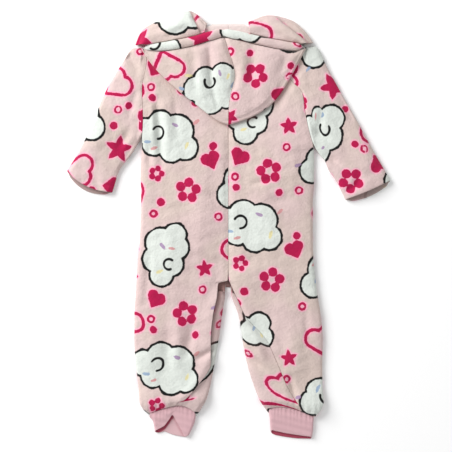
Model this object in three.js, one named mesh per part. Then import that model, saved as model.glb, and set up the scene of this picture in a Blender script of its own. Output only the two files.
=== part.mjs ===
import * as THREE from "three";

// A toddler's hooded fleece onesie, lying flat on its front with the hood down on its back.
// Millimetres. +X is the wearer's right, +Y runs from the ankles to the hood, +Z is up from the floor.
// Every panel is a wall of cloth through sections taken down its length, and each section is a table row.

// Driving dimensions
const fleeceThick = 3;         // plush fleece, pile and all
const jerseyThick = 2.2;       // doubled jersey of the ankle cuffs
const seamGap = 0.3;           // between two pieces sewn together
const armholeGap = 0.36;       // measured along X, across a slanting seam
const rollGap = 1.5;           // between the rolled hem and the cloth beside it
const seamX = -1;              // the centre-back seam
const zipHalfWidth = 5;
const zipTop = 330;
const zipFoot = -118;
const frontZ = fleeceThick / 2;           // middle of the front layer, which lies on the floor
const backZ = frontZ + 5.6;               // middle of the back layer, lying on the front
const hoodUnderZ = 10.55;                 // middle of the hood's under layer, lying on the back
const hoodTopZ = 15.35;                   // middle of the hood's top layer
const hoodFrontZ = 14.2;                  // middle of the hood fronts where they lie on the under layer
const hemRollZ = 12.9;                    // underside of the rolled hem
const cuffLowZ = jerseyThick / 2;
const cuffTopZ = 6.2;
const cuffGap = 0.45;                     // between a cuff and the gathered ankle above it
const zipThick = 1.8;
const sliderThick = 3.2;
const sliderLength = 9;
const sliderHalfWidth = 4.2;
const edgeRadius = (backZ - frontZ) / 2;  // of the cloth's middle where it turns over at an edge
const quarterTurn = edgeRadius * Math.PI / 2;
const halfTurn = edgeRadius * Math.PI;
const straightBelow = 0.01;               // a bend under this angle counts as none
const neckCurlReach = 5;                  // how far the hood's under layer curls down over the back neck seam
const neckCurlFull = 26;                  // it curls fully this far from the centre,
const neckCurlEnd = 36;                   // and not at all from here on
const neckSpread = 2;                     // between the sections there that do not curl
const hoodUnderBow = 12;
const hoodFrontSlump = 0.5;               // share of its width where a hood front starts to sink to its fold
const creaseFloor = -2.2;
const creaseCeiling = 1.2;
const creaseEnd = 0.55;                   // share of its height that a crease keeps at its ends
const sideFade = 5;                       // creases run out over the last fifth of a panel's width
const footRows = 3;                       // rows over which a leg gathers into its cuff

// How finely the walls are divided
const armholeSteps = 2;                   // sections between two rows of the armhole
const acrossBack = 9;
const acrossFront = 5;
const sideSteps = 3;
const legSteps = 4;
const sleeveSteps = 9;
const cuffSteps = 4;
const cuffAcross = 8;
const hoodAcross = 7;
const hoodRowSteps = 2;
const hoodFrontAcross = 4;
const hoodFrontUnder = 2;
const turnSteps = 4;
const rollAround = 10;

// Tables. Half-widths are measured outwards from the centre-back seam.
function table(columns, rows) {
  return rows.map((row) => Object.fromEntries(columns.map((column, i) => [column, row[i]])));
}

const bodyColumns = ["outer", "outerY", "back", "backY", "front", "frontY", "sideTurn", "legTurn"];
const bodyLeft = table(bodyColumns, [
  [159, 337, 0, 377.7, 0, 338, 0, 0],          // shoulder and neck
  [155, 312, 0, 347, 0, 316, 0, 0],
  [159, 287, 0, 312, 0, 292, 0, 0],
  [164, 258, 0, 276, 0, 264, 0, 0],
  [162.5, 228, 0, 240, 0, 234, 0, 0],
  [162, 198, 0, 204, 0, 202, 0, 0],
  [163.5, 168, 0, 168, 0, 168, 0, 0],        // underarm
  [165, 140, 0, 138, 0, 140, 1, 0],
  [167, 95, 0, 95, 0, 95, 1, 0],
  [166, 38, 0, 38, 0, 38, 1, 0],
  [168, -19, 0, -19, 0, -19, 1, 0],
  [173, -76, 0, -72, 0, -76, 1, 0],
  [175, -108, 1, -104, 0, -110, 1, 0],       // back crotch
  [176, -124, 19, -111, 3, -126, 1, 0.5],    // front crotch
  [177, -140, 21, -134, 7, -143, 1, 1],
  [179, -173, 29, -173, 12, -174, 1, 1],
  [179, -218, 33, -218, 18, -218, 1, 1],
  [176, -266, 33, -262, 26, -264, 1, 1],
  [171, -308, 58, -304, 34, -306, 1, 1],
  [168.5, -342, 83, -331, 43, -338, 1, 1],
  [163.5, -355, 94, -336, 50, -352, 1, 1],
  [150, -369, 100, -343.3, 60, -369, 1, 1],  // ankle
]);
const bodyRight = table(bodyColumns, [
  [139, 338, 0, 377.7, 0, 338, 0, 0],
  [119, 316, 0, 347, 0, 318, 0, 0],
  [109, 292, 0, 312, 0, 294, 0, 0],
  [122, 273, 0, 282, 0, 272, 0, 0],
  [141, 250, 0, 252, 0, 248, 0, 0],
  [145, 222, 0, 221, 0, 220, 0, 0],
  [152, 185, 0, 185, 0, 185, 0, 0],
  [161, 152, 0, 152, 0, 152, 0, 0],          // underarm
  [164, 130, 0, 130, 0, 130, 1, 0],
  [164, 95, 0, 95, 0, 95, 1, 0],
  [161, 38, 0, 38, 0, 38, 1, 0],
  [161, -19, 0, -19, 0, -19, 1, 0],
  [163, -76, 0, -72, 0, -76, 1, 0],
  [167, -108, 1, -102, 0, -110, 1, 0],       // back crotch
  [169, -126, 5, -113, 2, -128, 1, 0.5],     // front crotch
  [172, -145, 18, -142, 10, -146, 1, 1],
  [176, -171, 32, -172, 20, -174, 1, 1],
  [180, -218, 73, -219, 27, -218, 1, 1],
  [179, -268, 94, -264, 37, -268, 1, 1],
  [180, -309, 112, -306, 50, -309, 1, 1],
  [182, -338, 128, -333, 60, -336, 1, 1],
  [178, -353, 135, -343, 66, -347, 1, 1],
  [165, -370, 139, -354, 75, -361, 1, 1],    // ankle
]);
const neckRise = { back: 8, front: 25 };      // how far the top edges bow above a straight line
const ankleRise = { left: { back: 8, flap: 5, front: 26 }, right: { back: 1.2, flap: 8, front: 16 } };

// Sleeves: the outer fold and the underarm fold, from the armhole to the hem.
const sleeveColumns = ["foldX", "foldY", "underX", "underY"];
const sleeveLeft = table(sleeveColumns, [
  [-160, 337, -164.5, 168],
  [-181, 337, -178, 146],
  [-207, 302, -192, 126],
  [-236, 252, -204, 112],
  [-257, 202, -212, 97],
  [-281, 150, -216, 82],
  [-308, 104, -221, 63],
]);
const sleeveRight = table(sleeveColumns, [
  [138, 338, 160, 152],
  [164, 341, 172, 135],
  [190, 296, 183, 122],
  [219, 244, 190, 105],
  [246, 197, 201, 90],
  [276, 142, 211, 72],
  [308, 86, 222, 49],
]);
const hemBow = { left: { top: 11, low: 17 }, right: { top: 2, low: 9 } };

// The hood's bag: its folded edge, and where each section meets the centre seam on top and underneath.
const hoodColumns = ["foldX", "foldY", "topY", "underY"];
const hoodLeft = table(hoodColumns, [
  [-166, 334, 355, 376.8],
  [-144, 302, 326, 340],
  [-103, 261, 284, 296],
  [-68, 233, 250, 259],
  [-36, 208, 223, 227],
  [-18, 196, 205, 207],
  [-1, 190, 197, 197],
]);
const hoodRight = table(hoodColumns, [
  [147, 336, 355, 376.8],
  [128, 300, 326, 340],
  [95, 245, 284, 290],
  [73, 223, 250, 254],
  [45, 206, 223, 225],
  [15, 195, 205, 205],
  [-1, 190, 197, 197],
]);

// The bag's centre seam does not lie straight: its x at some heights of the top layer.
const hoodSeam = table(["y", "x"], [
  [355, -8], [326, 1], [305, 8], [284, 11.5], [250, 4], [223, 0], [196, -1],
]);
// The rolled hem of the hood's opening, from the left shoulder to the right.
const hemRoll = table(["x", "y", "half", "height"], [
  [-160, 336, 4, 3],
  [-128, 338, 8, 6.5],
  [-100, 342, 9, 7.5],
  [-67, 349, 9, 8],
  [-30, 359.5, 9, 8],
  [-8, 364, 8, 6],
  [8, 361, 8.5, 6.8],
  [50, 351.5, 8.5, 8],
  [96, 342, 8.5, 7.5],
  [128, 338, 7.5, 6.5],
  [140, 338, 3.5, 3],
]);

// The hood fronts folded over the shoulders: the side along the roll, the top fold,
// and the neck edge as a share of the body front's top edge.
const hoodFrontColumns = ["rollX", "foldX", "foldY", "foldZ", "neck"];
const hoodFrontLeft = table(hoodFrontColumns, [
  [-155, -178, 343, 9.5, 0.985],
  [-138, -167, 369, 8.5, 0.86],
  [-110, -128, 392, 7.1, 0.64],
  [-72, -76, 408, 7.1, 0.34],
  [-46, -41, 384, 13.9, 0.04],
]);
const hoodFrontRight = table(hoodFrontColumns, [
  [137, 161, 347, 9.5, 0.985],
  [126, 147, 367, 8.5, 0.86],
  [104, 118, 391, 7.1, 0.64],
  [70, 76, 400, 8, 0.34],
  [40, 37, 387, 13.9, 0.04],
]);

// Ankle cuffs, from the ankle seam to the mouth; the bows are how far each edge rises at its middle.
const cuffColumns = ["leftX", "leftY", "rightX", "rightY", "topBow", "lowBow"];
const cuffLeft = table(cuffColumns, [
  [-144, -362, -66, -364, 19, 19],
  [-142, -378, -68, -381, 18, 12],
  [-140, -394, -77, -402, 31, 1],
]);
const cuffRight = table(cuffColumns, [
  [78, -358.6, 160, -367.6, 12.6, 12.6],
  [77.5, -378, 160, -386, 4, 4],
  [79, -393, 158, -406, -2, -7],
]);

// Main creases: troughs and swells along a line, tapering out at both ends.
const creaseColumns = ["x0", "y0", "x1", "y1", "width", "height"];
const creases = table(creaseColumns, [
  [-136, 238, -126, 110, 10, -1.6],    // two long troughs left of the centre
  [-152, 145, -151, 105, 8, -1.3],
  [44, 80, 84, 87, 7, -1.1],           // across the seat
  [-1, 180, -1, -100, 7, -0.8],        // along the centre seam
  [-72, 150, -60, -40, 30, 0.9],       // the cloth swells a little between seams
  [84, 150, 92, -60, 34, 0.9],
  [-30, -237, -62, -254, 8, -1.9],     // left knee
  [-72, -190, -80, -250, 13, -1.7],
  [-128, -300, -110, -338, 16, 1],     // the ankles puff out above the cuffs
  [34, -248, 62, -270, 8, -1.6],       // right knee
  [116, -292, 127, -330, 8, -1.6],
  [152, -300, 150, -345, 14, 1],
  [92, -300, 96, -338, 14, 1],
  [166, 180, 182, 168, 8, -1.2],       // right sleeve
  [190, 130, 204, 118, 8, -1.3],
  [232, 180, 256, 120, 16, 0.9],
  [-196, 330, -172, 300, 13, -1.8],    // left shoulder
  [-236, 190, -262, 130, 16, 0.9],     // left sleeve
  [-190, 180, -205, 150, 9, -1.2],
]);
const hoodCreases = table(creaseColumns, [
  [-50, 326, -46, 240, 8, 1.1],        // soft pleats left of the hood's seam
  [-31, 322, -28, 300, 6, 1],
  [-1, 345, -1, 205, 6, -0.7],
  [-105, 310, -70, 262, 20, 1.3],
  [85, 318, 60, 250, 24, 1.3],
  [26, 320, 22, 230, 12, 0.8],
]);

// A smooth curve through one column that never swings past its rows.
function columnAt(rows, column, place) {
  const last = rows.length - 1;
  const i = Math.min(Math.floor(place), last - 1);
  const t = place - i;
  const step = (k) => (k < 0 || k >= last ? null : rows[k + 1][column] - rows[k][column]);
  const slope = (k) => {
    const before = step(k - 1) ?? step(k);
    const after = step(k) ?? step(k - 1);
    return before * after > 0 ? (2 * before * after) / (before + after) : 0;
  };
  const a = rows[i][column];
  const b = rows[i + 1][column];
  const s = t * t * (3 - 2 * t);
  const bend = t * (1 - t) * (1 - t) * slope(i) - t * t * (1 - t) * slope(i + 1);
  return a + (b - a) * s + bend;
}

// The place of a value in a column that only rises or only falls, kept within the table.
function placeOf(rows, column, value) {
  const rising = rows.at(-1)[column] > rows[0][column];
  let i = 0;
  while (i < rows.length - 2 && (value > rows[i + 1][column]) === rising) i += 1;
  const t = (value - rows[i][column]) / (rows[i + 1][column] - rows[i][column]);
  return i + THREE.MathUtils.clamp(t, 0, 1);
}

function rowAt(rows, place) {
  return Object.fromEntries(Object.keys(rows[0]).map((column) => [column, columnAt(rows, column, place)]));
}

const bow = (s) => 4 * s * (1 - s);
const mix = (a, b, s) => a + (b - a) * s;

// Height that the creases add at a point: a bell across each line, fading out at its ends.
function creaseHeight(list, x, y) {
  let sum = 0;
  for (const { x0, y0, x1, y1, width, height } of list) {
    const dx = x1 - x0;
    const dy = y1 - y0;
    const along = ((x - x0) * dx + (y - y0) * dy) / (dx * dx + dy * dy);
    const near = THREE.MathUtils.clamp(along, 0, 1);
    const away = Math.hypot(x - x0 - dx * near, y - y0 - dy * near);
    const taper = mix(creaseEnd, 1, bow(near));
    sum += height * taper * Math.exp(-((away / width) ** 2));
  }
  return THREE.MathUtils.clamp(sum, creaseFloor, creaseCeiling);
}

// A point of the wall's middle, with the direction in which its outer face lies.
const mid = (x, y, z, nx, ny, nz) => ({ x, y, z, nx, ny, nz });

// Turns a flat layer over an edge: from the angle `from` to `to` in degrees, where 0 faces up and 180 down.
function turn(edge, dir, z, radius, from, to, steps) {
  const points = [];
  for (let k = 1; k < steps; k += 1) {
    const a = THREE.MathUtils.degToRad(mix(from, to, k / steps));
    const p = shifted(edge, dir, radius * Math.sin(a));
    const [nx, ny] = [dir.x * Math.sin(a), dir.y * Math.sin(a)];
    points.push(mid(p.x, p.y, z + radius * Math.cos(a), nx, ny, Math.cos(a)));
  }
  return points;
}

// A strip of cloth that bends evenly through `bend` over its whole length: how far a point of it
// reaches and rises.
function bent(length, whole, bend) {
  const angle = bend * length / whole;
  if (bend < straightBelow) return { angle, reach: length, rise: 0 };
  const radius = whole / bend;
  return { angle, reach: radius * Math.sin(angle), rise: radius * (1 - Math.cos(angle)) };
}

function direction(from, to) {
  const length = Math.hypot(to.x - from.x, to.y - from.y);
  return { x: (to.x - from.x) / length, y: (to.y - from.y) / length };
}

const shifted = (point, dir, by) => ({ x: point.x + dir.x * by, y: point.y + dir.y * by });

// Builds the closed wall through a grid of middle points: outer face, inner face and the rims between them.
function wall(grid, thick, ring) {
  const rows = grid.length;
  const across = grid[0].length;
  const positions = [];
  const faces = [];
  for (const side of [0.5, -0.5]) {
    for (const row of grid) {
      for (const p of row) {
        positions.push(p.x + p.nx * thick * side, p.y + p.ny * thick * side, p.z + p.nz * thick * side);
      }
    }
  }
  const outer = (i, j) => i * across + (j % across);
  const inner = (i, j) => rows * across + outer(i, j);
  const quad = (a, b, c, d) => faces.push(a, b, c, a, c, d);
  const spans = ring ? across : across - 1;
  for (let i = 0; i < rows - 1; i += 1) {
    for (let j = 0; j < spans; j += 1) {
      quad(outer(i, j), outer(i, j + 1), outer(i + 1, j + 1), outer(i + 1, j));
      quad(inner(i, j), inner(i + 1, j), inner(i + 1, j + 1), inner(i, j + 1));
    }
    if (!ring) {
      quad(outer(i, 0), outer(i + 1, 0), inner(i + 1, 0), inner(i, 0));
      quad(outer(i + 1, across - 1), outer(i, across - 1), inner(i, across - 1), inner(i + 1, across - 1));
    }
  }
  for (let j = 0; j < spans; j += 1) {
    quad(outer(0, j + 1), outer(0, j), inner(0, j), inner(0, j + 1));
    quad(outer(rows - 1, j), outer(rows - 1, j + 1), inner(rows - 1, j + 1), inner(rows - 1, j));
  }
  return solid(positions, faces);
}

// Makes the geometry and turns its faces outwards.
function solid(positions, faces) {
  const corner = (n) => new THREE.Vector3().fromArray(positions, 3 * n);
  let volume = 0;
  for (let f = 0; f < faces.length; f += 3) {
    volume += corner(faces[f]).dot(corner(faces[f + 1]).cross(corner(faces[f + 2])));
  }
  if (volume < 0) faces.reverse();
  const geometry = new THREE.BufferGeometry();
  geometry.setAttribute("position", new THREE.Float32BufferAttribute(positions, 3));
  geometry.setIndex(faces);
  geometry.computeVertexNormals();
  return geometry;
}

// Places of the sections down the body: closer together where the outline bends.
function bodyPlaces(rows, underarm) {
  const places = [];
  for (let i = 0; i < rows.length - 1; i += 1) {
    const steps = i < underarm ? armholeSteps : 1;
    for (let k = 0; k < steps; k += 1) places.push(i + k / steps);
  }
  places.push(rows.length - 1);
  return places;
}

// One section of a back half, from the centre seam or inseam out to the armhole or side seam.
function backSection(rows, place, side, rise) {
  const row = rowAt(rows, place);
  const inner = { x: seamX + side * (row.back + seamGap / 2), y: row.backY };
  const outer = { x: seamX + side * row.outer, y: row.outerY };
  const out = direction(inner, outer);
  const bend = row.sideTurn * Math.PI / 2;
  const tuck = bent(quarterTurn, quarterTurn, bend).reach + fleeceThick / 2 * Math.sin(bend);
  const start = shifted(outer, out, -tuck);
  const points = [];
  for (let k = 0; k <= acrossBack; k += 1) {
    const s = k / acrossBack;
    const x = mix(inner.x, start.x, s);
    const y = mix(inner.y, start.y, s) + rise(place, s);
    points.push(mid(x, y, backZ + creaseHeight(creases, x, y) * Math.min(1, (1 - s) * sideFade), 0, 0, 1));
  }
  for (let k = 1; k <= sideSteps; k += 1) {
    const length = quarterTurn * k / sideSteps - (k === sideSteps ? seamGap / 2 : 0);
    const edge = bent(length, quarterTurn, bend);
    const p = shifted(start, out, edge.reach);
    const [nx, ny] = [out.x * Math.sin(edge.angle), out.y * Math.sin(edge.angle)];
    points.push(mid(p.x, p.y, backZ - edge.rise, nx, ny, Math.cos(edge.angle)));
  }
  return points;
}

// One section of a front half: from the side seam, flat on the floor, then round the leg's inner edge.
function frontSection(rows, place, side, rise) {
  const row = rowAt(rows, place);
  const zipRoom = (zipHalfWidth + seamGap) * (1 - row.legTurn);
  const outer = { x: seamX + side * row.outer, y: row.outerY };
  const inner = { x: seamX + side * (row.front + zipRoom), y: row.frontY };
  const inseam = { x: seamX + side * (row.back - seamGap / 2), y: row.backY };
  const out = direction(inner, outer);
  const inward = direction(outer, inner);
  const bend = row.sideTurn * Math.PI / 2;
  const tuck = bent(quarterTurn, quarterTurn, bend).reach + fleeceThick / 2 * Math.sin(bend);
  const start = shifted(outer, inward, tuck);
  const points = [];
  const edgePoint = (from, dir, edge) => {
    const p = shifted(from, dir, edge.reach);
    const [nx, ny] = [dir.x * Math.sin(edge.angle), dir.y * Math.sin(edge.angle)];
    points.push(mid(p.x, p.y, frontZ + edge.rise, nx, ny, -Math.cos(edge.angle)));
  };
  for (let k = sideSteps; k >= 1; k -= 1) {
    const length = quarterTurn * k / sideSteps - (k === sideSteps ? seamGap / 2 : 0);
    edgePoint(start, out, bent(length, quarterTurn, bend));
  }
  const curl = row.legTurn * Math.PI;
  const widest = Math.min(curl, Math.PI / 2);
  const strip = 1 - row.legTurn;   // where the cloth does not wrap, a millimetre of it stays in line
  const reach = curl < straightBelow ? halfTurn : halfTurn / curl * Math.sin(widest);
  const turned = shifted(inner, out, reach + fleeceThick / 2 * Math.sin(widest) + strip);
  for (let k = 0; k <= acrossFront; k += 1) {
    const s = k / acrossFront;
    points.push(mid(mix(start.x, turned.x, s), mix(start.y, turned.y, s) + rise(place, s), frontZ, 0, 0, -1));
  }
  for (let k = 1; k <= legSteps; k += 1) {
    edgePoint(turned, inward, bent(halfTurn * k / legSteps, halfTurn, curl));
  }
  const lip = points.at(-1);
  for (let k = 1; k <= 2; k += 1) {
    const s = k / 2;
    if (row.legTurn === 1) {
      const x = mix(lip.x, inseam.x, s);
      const y = mix(lip.y, inseam.y, s) + rise(place, -s);
      points.push(mid(x, y, backZ + creaseHeight(creases, x, y) * bow(s / 2), 0, 0, 1));
    } else {
      const on = shifted(lip, inward, strip * s * Math.cos(curl));
      points.push(mid(on.x, on.y, lip.z + strip * s * Math.sin(curl), lip.nx, lip.ny, lip.nz));
    }
  }
  return points;
}

function bodySides(name) {
  const left = name === "left";
  const rows = left ? bodyLeft : bodyRight;
  const underarm = left ? 6 : 7;
  return { rows, underarm, side: left ? -1 : 1, rises: ankleRise[name] };
}

// How far the ends of a panel bow towards the head: the neck at the top, the gathered ankle at the foot.
const nearTop = (place) => Math.max(0, 1 - place) ** 2;
const nearFoot = (rows, place) => Math.max(0, 1 - (rows.length - 1 - place) / footRows);

function backRow(name, place) {
  const { rows, side, rises } = bodySides(name);
  const rise = (at, s) => bow(s) * (neckRise.back * nearTop(at) + rises.back * nearFoot(rows, at));
  return backSection(rows, place, side, rise);
}

function frontRow(name, place) {
  const { rows, side, rises } = bodySides(name);
  const rise = (at, s) => {
    if (s < 0) return bow(-s) * rises.flap * nearFoot(rows, at);
    return bow(s) * (neckRise.front * nearTop(at) + rises.front * nearFoot(rows, at));
  };
  return frontSection(rows, place, side, rise);
}

function bodyPanel(name, rowAtPlace) {
  const { rows, underarm } = bodySides(name);
  return wall(bodyPlaces(rows, underarm).map((place) => rowAtPlace(name, place)), fleeceThick, false);
}

// A point of a sleeve laid flat: t runs from the armhole to the hem, s from the outer fold to the underarm.
// It is a straight line between the two folds, plus the armhole's bow fading out and the hem's bow fading in.
function sleevePoint(name, s, t, hem) {
  const { rows, underarm, side } = bodySides(name);
  const folds = name === "left" ? sleeveLeft : sleeveRight;
  const [start, end] = [folds[0], folds.at(-1)];
  const armhole = rowAt(rows, s * underarm);
  const edge = rowAt(folds, t * (folds.length - 1));
  const along = direction({ x: end.foldX, y: end.foldY }, { x: end.underX, y: end.underY });
  const armholeX = seamX + side * armhole.outer - mix(start.foldX, start.underX, s);
  const armholeY = armhole.outerY - mix(start.foldY, start.underY, s);
  const out = hem * bow(s) * t;
  return {
    x: mix(edge.foldX, edge.underX, s) + armholeX * (1 - t) + side * (Math.abs(along.y) * out + armholeGap),
    y: mix(edge.foldY, edge.underY, s) + armholeY * (1 - t) - Math.abs(along.x) * out,
  };
}

// A flattened tube: top layer, turn, under layer, turn.
function tubeSection(topLine, lowLine, topZ, lowZ, thick, height) {
  const n = topLine.length - 1;
  const radius = (topZ - lowZ) / 2;
  const inset = radius + thick / 2;
  const startDir = direction(topLine[1], topLine[0]);
  const endDir = direction(topLine[n - 1], topLine[n]);
  const lay = (line) => line.map((p, k) => {
    if (k === 0) return shifted(p, startDir, -inset);
    if (k === n) return shifted(p, endDir, -inset);
    return p;
  });
  const top = lay(topLine);
  const low = lay(lowLine);
  const centre = (topZ + lowZ) / 2;
  const halfway = (a, b) => ({ x: (a.x + b.x) / 2, y: (a.y + b.y) / 2 });
  const lifted = top.map((p, k) => {
    const fade = Math.min(1, bow(k / n) * 2);
    return mid(p.x, p.y, topZ + height(p.x, p.y) * fade, 0, 0, 1);
  });
  const under = low.map((p) => mid(p.x, p.y, lowZ, 0, 0, -1));
  return [
    ...lifted,
    ...turn(halfway(top[n], low[n]), endDir, centre, radius, 0, 180, turnSteps),
    ...under.reverse(),
    ...turn(halfway(top[0], low[0]), startDir, centre, radius, 180, 0, turnSteps),
  ];
}

function sleeve(name) {
  const { underarm } = bodySides(name);
  const across = underarm * armholeSteps;
  const grid = [];
  for (let i = 0; i <= sleeveSteps; i += 1) {
    const t = i / sleeveSteps;
    const line = (hem) => Array.from({ length: across + 1 }, (_, k) => sleevePoint(name, k / across, t, hem));
    grid.push(tubeSection(line(hemBow[name].top), line(hemBow[name].low), backZ, frontZ, fleeceThick,
      (x, y) => creaseHeight(creases, x, y)));
  }
  return wall(grid, fleeceThick, true);
}

// Lowest point of the leg's bottom edge at x, over both its layers.
function ankleAt(name, x) {
  const { rows } = bodySides(name);
  const foot = rows.length - 1;
  let lowest = Infinity;
  for (const points of [backRow(name, foot), frontRow(name, foot)]) {
    for (let k = 1; k < points.length; k += 1) {
      const [a, b] = [points[k - 1], points[k]];
      const t = (x - a.x) / (b.x - a.x);
      if (t >= 0 && t <= 1) lowest = Math.min(lowest, mix(a.y, b.y, t));
    }
  }
  return lowest;
}

// An ankle cuff: a flattened tube that starts along the gathered ankle and ends at its own hem.
function cuff(name) {
  const rows = name === "left" ? cuffLeft : cuffRight;
  const seam = rows[0];
  const grid = [];
  for (let i = 0; i <= cuffSteps; i += 1) {
    const t = i / cuffSteps;
    const row = rowAt(rows, t * (rows.length - 1));
    const line = (rise) => Array.from({ length: cuffAcross + 1 }, (_, k) => {
      const s = k / cuffAcross;
      const ankle = ankleAt(name, mix(seam.leftX, seam.rightX, s)) - cuffGap;
      const away = ankle - mix(seam.leftY, seam.rightY, s) - seam.topBow * bow(s);
      const y = mix(row.leftY, row.rightY, s) + rise * bow(s) + away * (1 - t) ** 2;
      return { x: mix(row.leftX, row.rightX, s), y };
    });
    grid.push(tubeSection(line(row.topBow), line(row.lowBow), cuffTopZ, cuffLowZ, jerseyThick, () => 0));
  }
  return wall(grid, jerseyThick, true);
}

// The rolled hem's middle line and half-width at a given x.
function hemAt(x) {
  const place = placeOf(hemRoll, "x", x);
  return { y: columnAt(hemRoll, "y", place), half: columnAt(hemRoll, "half", place) };
}

// The hood's bag on one side of the centre seam: the top layer, the folded edge, and the under layer,
// which curls down over the back neck seam.
function hoodSide(name) {
  const rows = name === "left" ? hoodLeft : hoodRight;
  const side = name === "left" ? -1 : 1;
  const last = rows.length - 1;
  const grid = [];
  const section = (place, curl) => {
    const row = rowAt(rows, place);
    const seam = seamX + side * seamGap / 2;
    const fold = { x: place === last ? seam : row.foldX, y: row.foldY };
    const drift = columnAt(hoodSeam, "x", placeOf(hoodSeam, "y", row.topY)) - seamX;
    const topSeam = { x: seam + drift, y: row.topY };
    const underSeam = { x: seam, y: row.underY };
    const dir = direction(topSeam, fold);
    const radius = (hoodTopZ - hoodUnderZ) / 2;
    const start = shifted(fold, dir, -(radius + fleeceThick / 2));
    const near = nearTop(place / 2);
    const points = [];
    for (let k = 0; k <= hoodAcross; k += 1) {
      const s = k / hoodAcross;
      const x = mix(topSeam.x, start.x, s);
      const out = THREE.MathUtils.clamp((x - topSeam.x) / (rows[0].foldX - topSeam.x), 0, 1);
      const first = mix(rows[0].topY, rows[0].foldY, out);
      const edge = hemAt(x);
      const y = mix(topSeam.y, start.y, s) + (edge.y - edge.half - rollGap - first) * near + curl * seamGap;
      const fade = Math.min(1, (1 - s) * sideFade);
      points.push(mid(x, y, hoodTopZ + creaseHeight(hoodCreases, x, y) * fade, 0, 0, 1));
    }
    points.push(...turn(start, dir, (hoodTopZ + hoodUnderZ) / 2, radius, 0, 180, turnSteps));
    for (let k = hoodAcross; k >= 0; k -= 1) {
      const s = k / hoodAcross;
      const x = mix(underSeam.x, start.x, s);
      const flat = mix(underSeam.y, start.y, s) + hoodUnderBow * bow(s) * nearTop(place / 2);
      const atNeck = 1 - THREE.MathUtils.smoothstep(Math.abs(x - seamX), neckCurlFull, neckCurlEnd);
      const angle = curl * atNeck * Math.PI / 2;
      const y = flat + neckCurlReach * Math.sin(angle) + curl * neckSpread * (1 - atNeck);
      const z = hoodUnderZ - neckCurlReach * (1 - Math.cos(angle)) + creaseHeight(creases, x, y) / 2;
      points.push(mid(x, y, z, 0, -Math.sin(angle), -Math.cos(angle)));
    }
    return points;
  };
  for (const curl of [1, 2 / 3, 1 / 3]) grid.push(section(0, curl));
  for (let i = 0; i <= last * hoodRowSteps; i += 1) grid.push(section(i / hoodRowSteps, 0));
  return wall(grid, fleeceThick, false);
}

// A hood front folded over the shoulder: from the rolled hem to the top fold, and back under it
// to the body front's neck edge.
function hoodFront(name) {
  const rows = name === "left" ? hoodFrontLeft : hoodFrontRight;
  const { rows: body, side } = bodySides(name);
  const shoulder = body[0];
  const grid = [];
  for (let i = 0; i <= (rows.length - 1) * hoodRowSteps; i += 1) {
    const row = rowAt(rows, i / hoodRowSteps);
    const edge = hemAt(row.rollX);
    const from = { x: row.rollX, y: edge.y + edge.half + rollGap / 2 };
    const fold = { x: row.foldX, y: row.foldY };
    const s = row.neck;
    const zipRoom = zipHalfWidth + seamGap;
    const neck = {
      x: seamX + side * mix(zipRoom, shoulder.outer, s),
      y: mix(shoulder.frontY, shoulder.outerY, s) + neckRise.front * bow(s) + rollGap / 2,
    };
    const dir = direction(from, fold);
    const radius = (row.foldZ - frontZ) / 2;
    const start = shifted(fold, dir, -(radius + fleeceThick / 2));
    const points = [];
    for (let k = 0; k <= hoodFrontAcross; k += 1) {
      const u = k / hoodFrontAcross;
      const slump = THREE.MathUtils.smoothstep(u, hoodFrontSlump, 1);
      const z = mix(hoodFrontZ, row.foldZ, slump);
      points.push(mid(mix(from.x, start.x, u), mix(from.y, start.y, u), z, 0, 0, 1));
    }
    points.push(...turn(start, dir, (row.foldZ + frontZ) / 2, radius, 0, 180, turnSteps));
    for (let k = 0; k <= hoodFrontUnder; k += 1) {
      const u = k / hoodFrontUnder;
      points.push(mid(mix(start.x, neck.x, u), mix(start.y, neck.y, u), frontZ, 0, 0, -1));
    }
    grid.push(points);
  }
  return wall(grid, fleeceThick, false);
}

// The rolled hem: an oval roll of cloth, closed at both ends.
function hoodHem() {
  const steps = (hemRoll.length - 1) * 2;
  const positions = [];
  const faces = [];
  for (let i = 0; i <= steps; i += 1) {
    const near = hemRoll[Math.floor(i / 2)];
    const x = i % 2 ? (near.x + hemRoll[(i + 1) / 2].x) / 2 : near.x;
    const { y, half } = hemAt(x);
    const halfHeight = columnAt(hemRoll, "height", i / 2) / 2;
    for (let k = 0; k < rollAround; k += 1) {
      const a = 2 * Math.PI * k / rollAround;
      positions.push(x, y + half * Math.cos(a), hemRollZ + halfHeight + halfHeight * Math.sin(a));
    }
  }
  const at = (i, k) => i * rollAround + (k % rollAround);
  for (let i = 0; i < steps; i += 1) {
    for (let k = 0; k < rollAround; k += 1) {
      faces.push(at(i, k), at(i + 1, k), at(i + 1, k + 1), at(i, k), at(i + 1, k + 1), at(i, k + 1));
    }
  }
  for (let k = 1; k < rollAround - 1; k += 1) {
    faces.push(at(0, 0), at(0, k), at(0, k + 1), at(steps, 0), at(steps, k + 1), at(steps, k));
  }
  return solid(positions, faces);
}

// The closed zip between the two fronts, and its slider parked at the neck.
function zipStrip() {
  const strip = new THREE.BoxGeometry(zipHalfWidth * 2, zipTop - zipFoot, zipThick);
  strip.translate(seamX, (zipTop + zipFoot) / 2, frontZ);
  return strip;
}

function zipSlider() {
  const body = new THREE.Shape();
  body.moveTo(-zipHalfWidth / 2, 0);
  body.lineTo(zipHalfWidth / 2, 0);
  body.lineTo(sliderHalfWidth, sliderLength);
  body.lineTo(-sliderHalfWidth, sliderLength);
  body.closePath();
  const slider = new THREE.ExtrudeGeometry(body, { depth: sliderThick, bevelEnabled: false });
  slider.translate(seamX, zipTop + seamGap, 0);
  return slider;
}

// Finishes
const fleecePrint = { color: 0xe6d2cb, roughness: 0.95, metalness: 0 };
const cuffJersey = { color: 0xe2bcc4, roughness: 0.85, metalness: 0 };
const zipTape = { color: 0xe0c3c4, roughness: 0.7, metalness: 0 };

const onesie = new THREE.Group();

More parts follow.
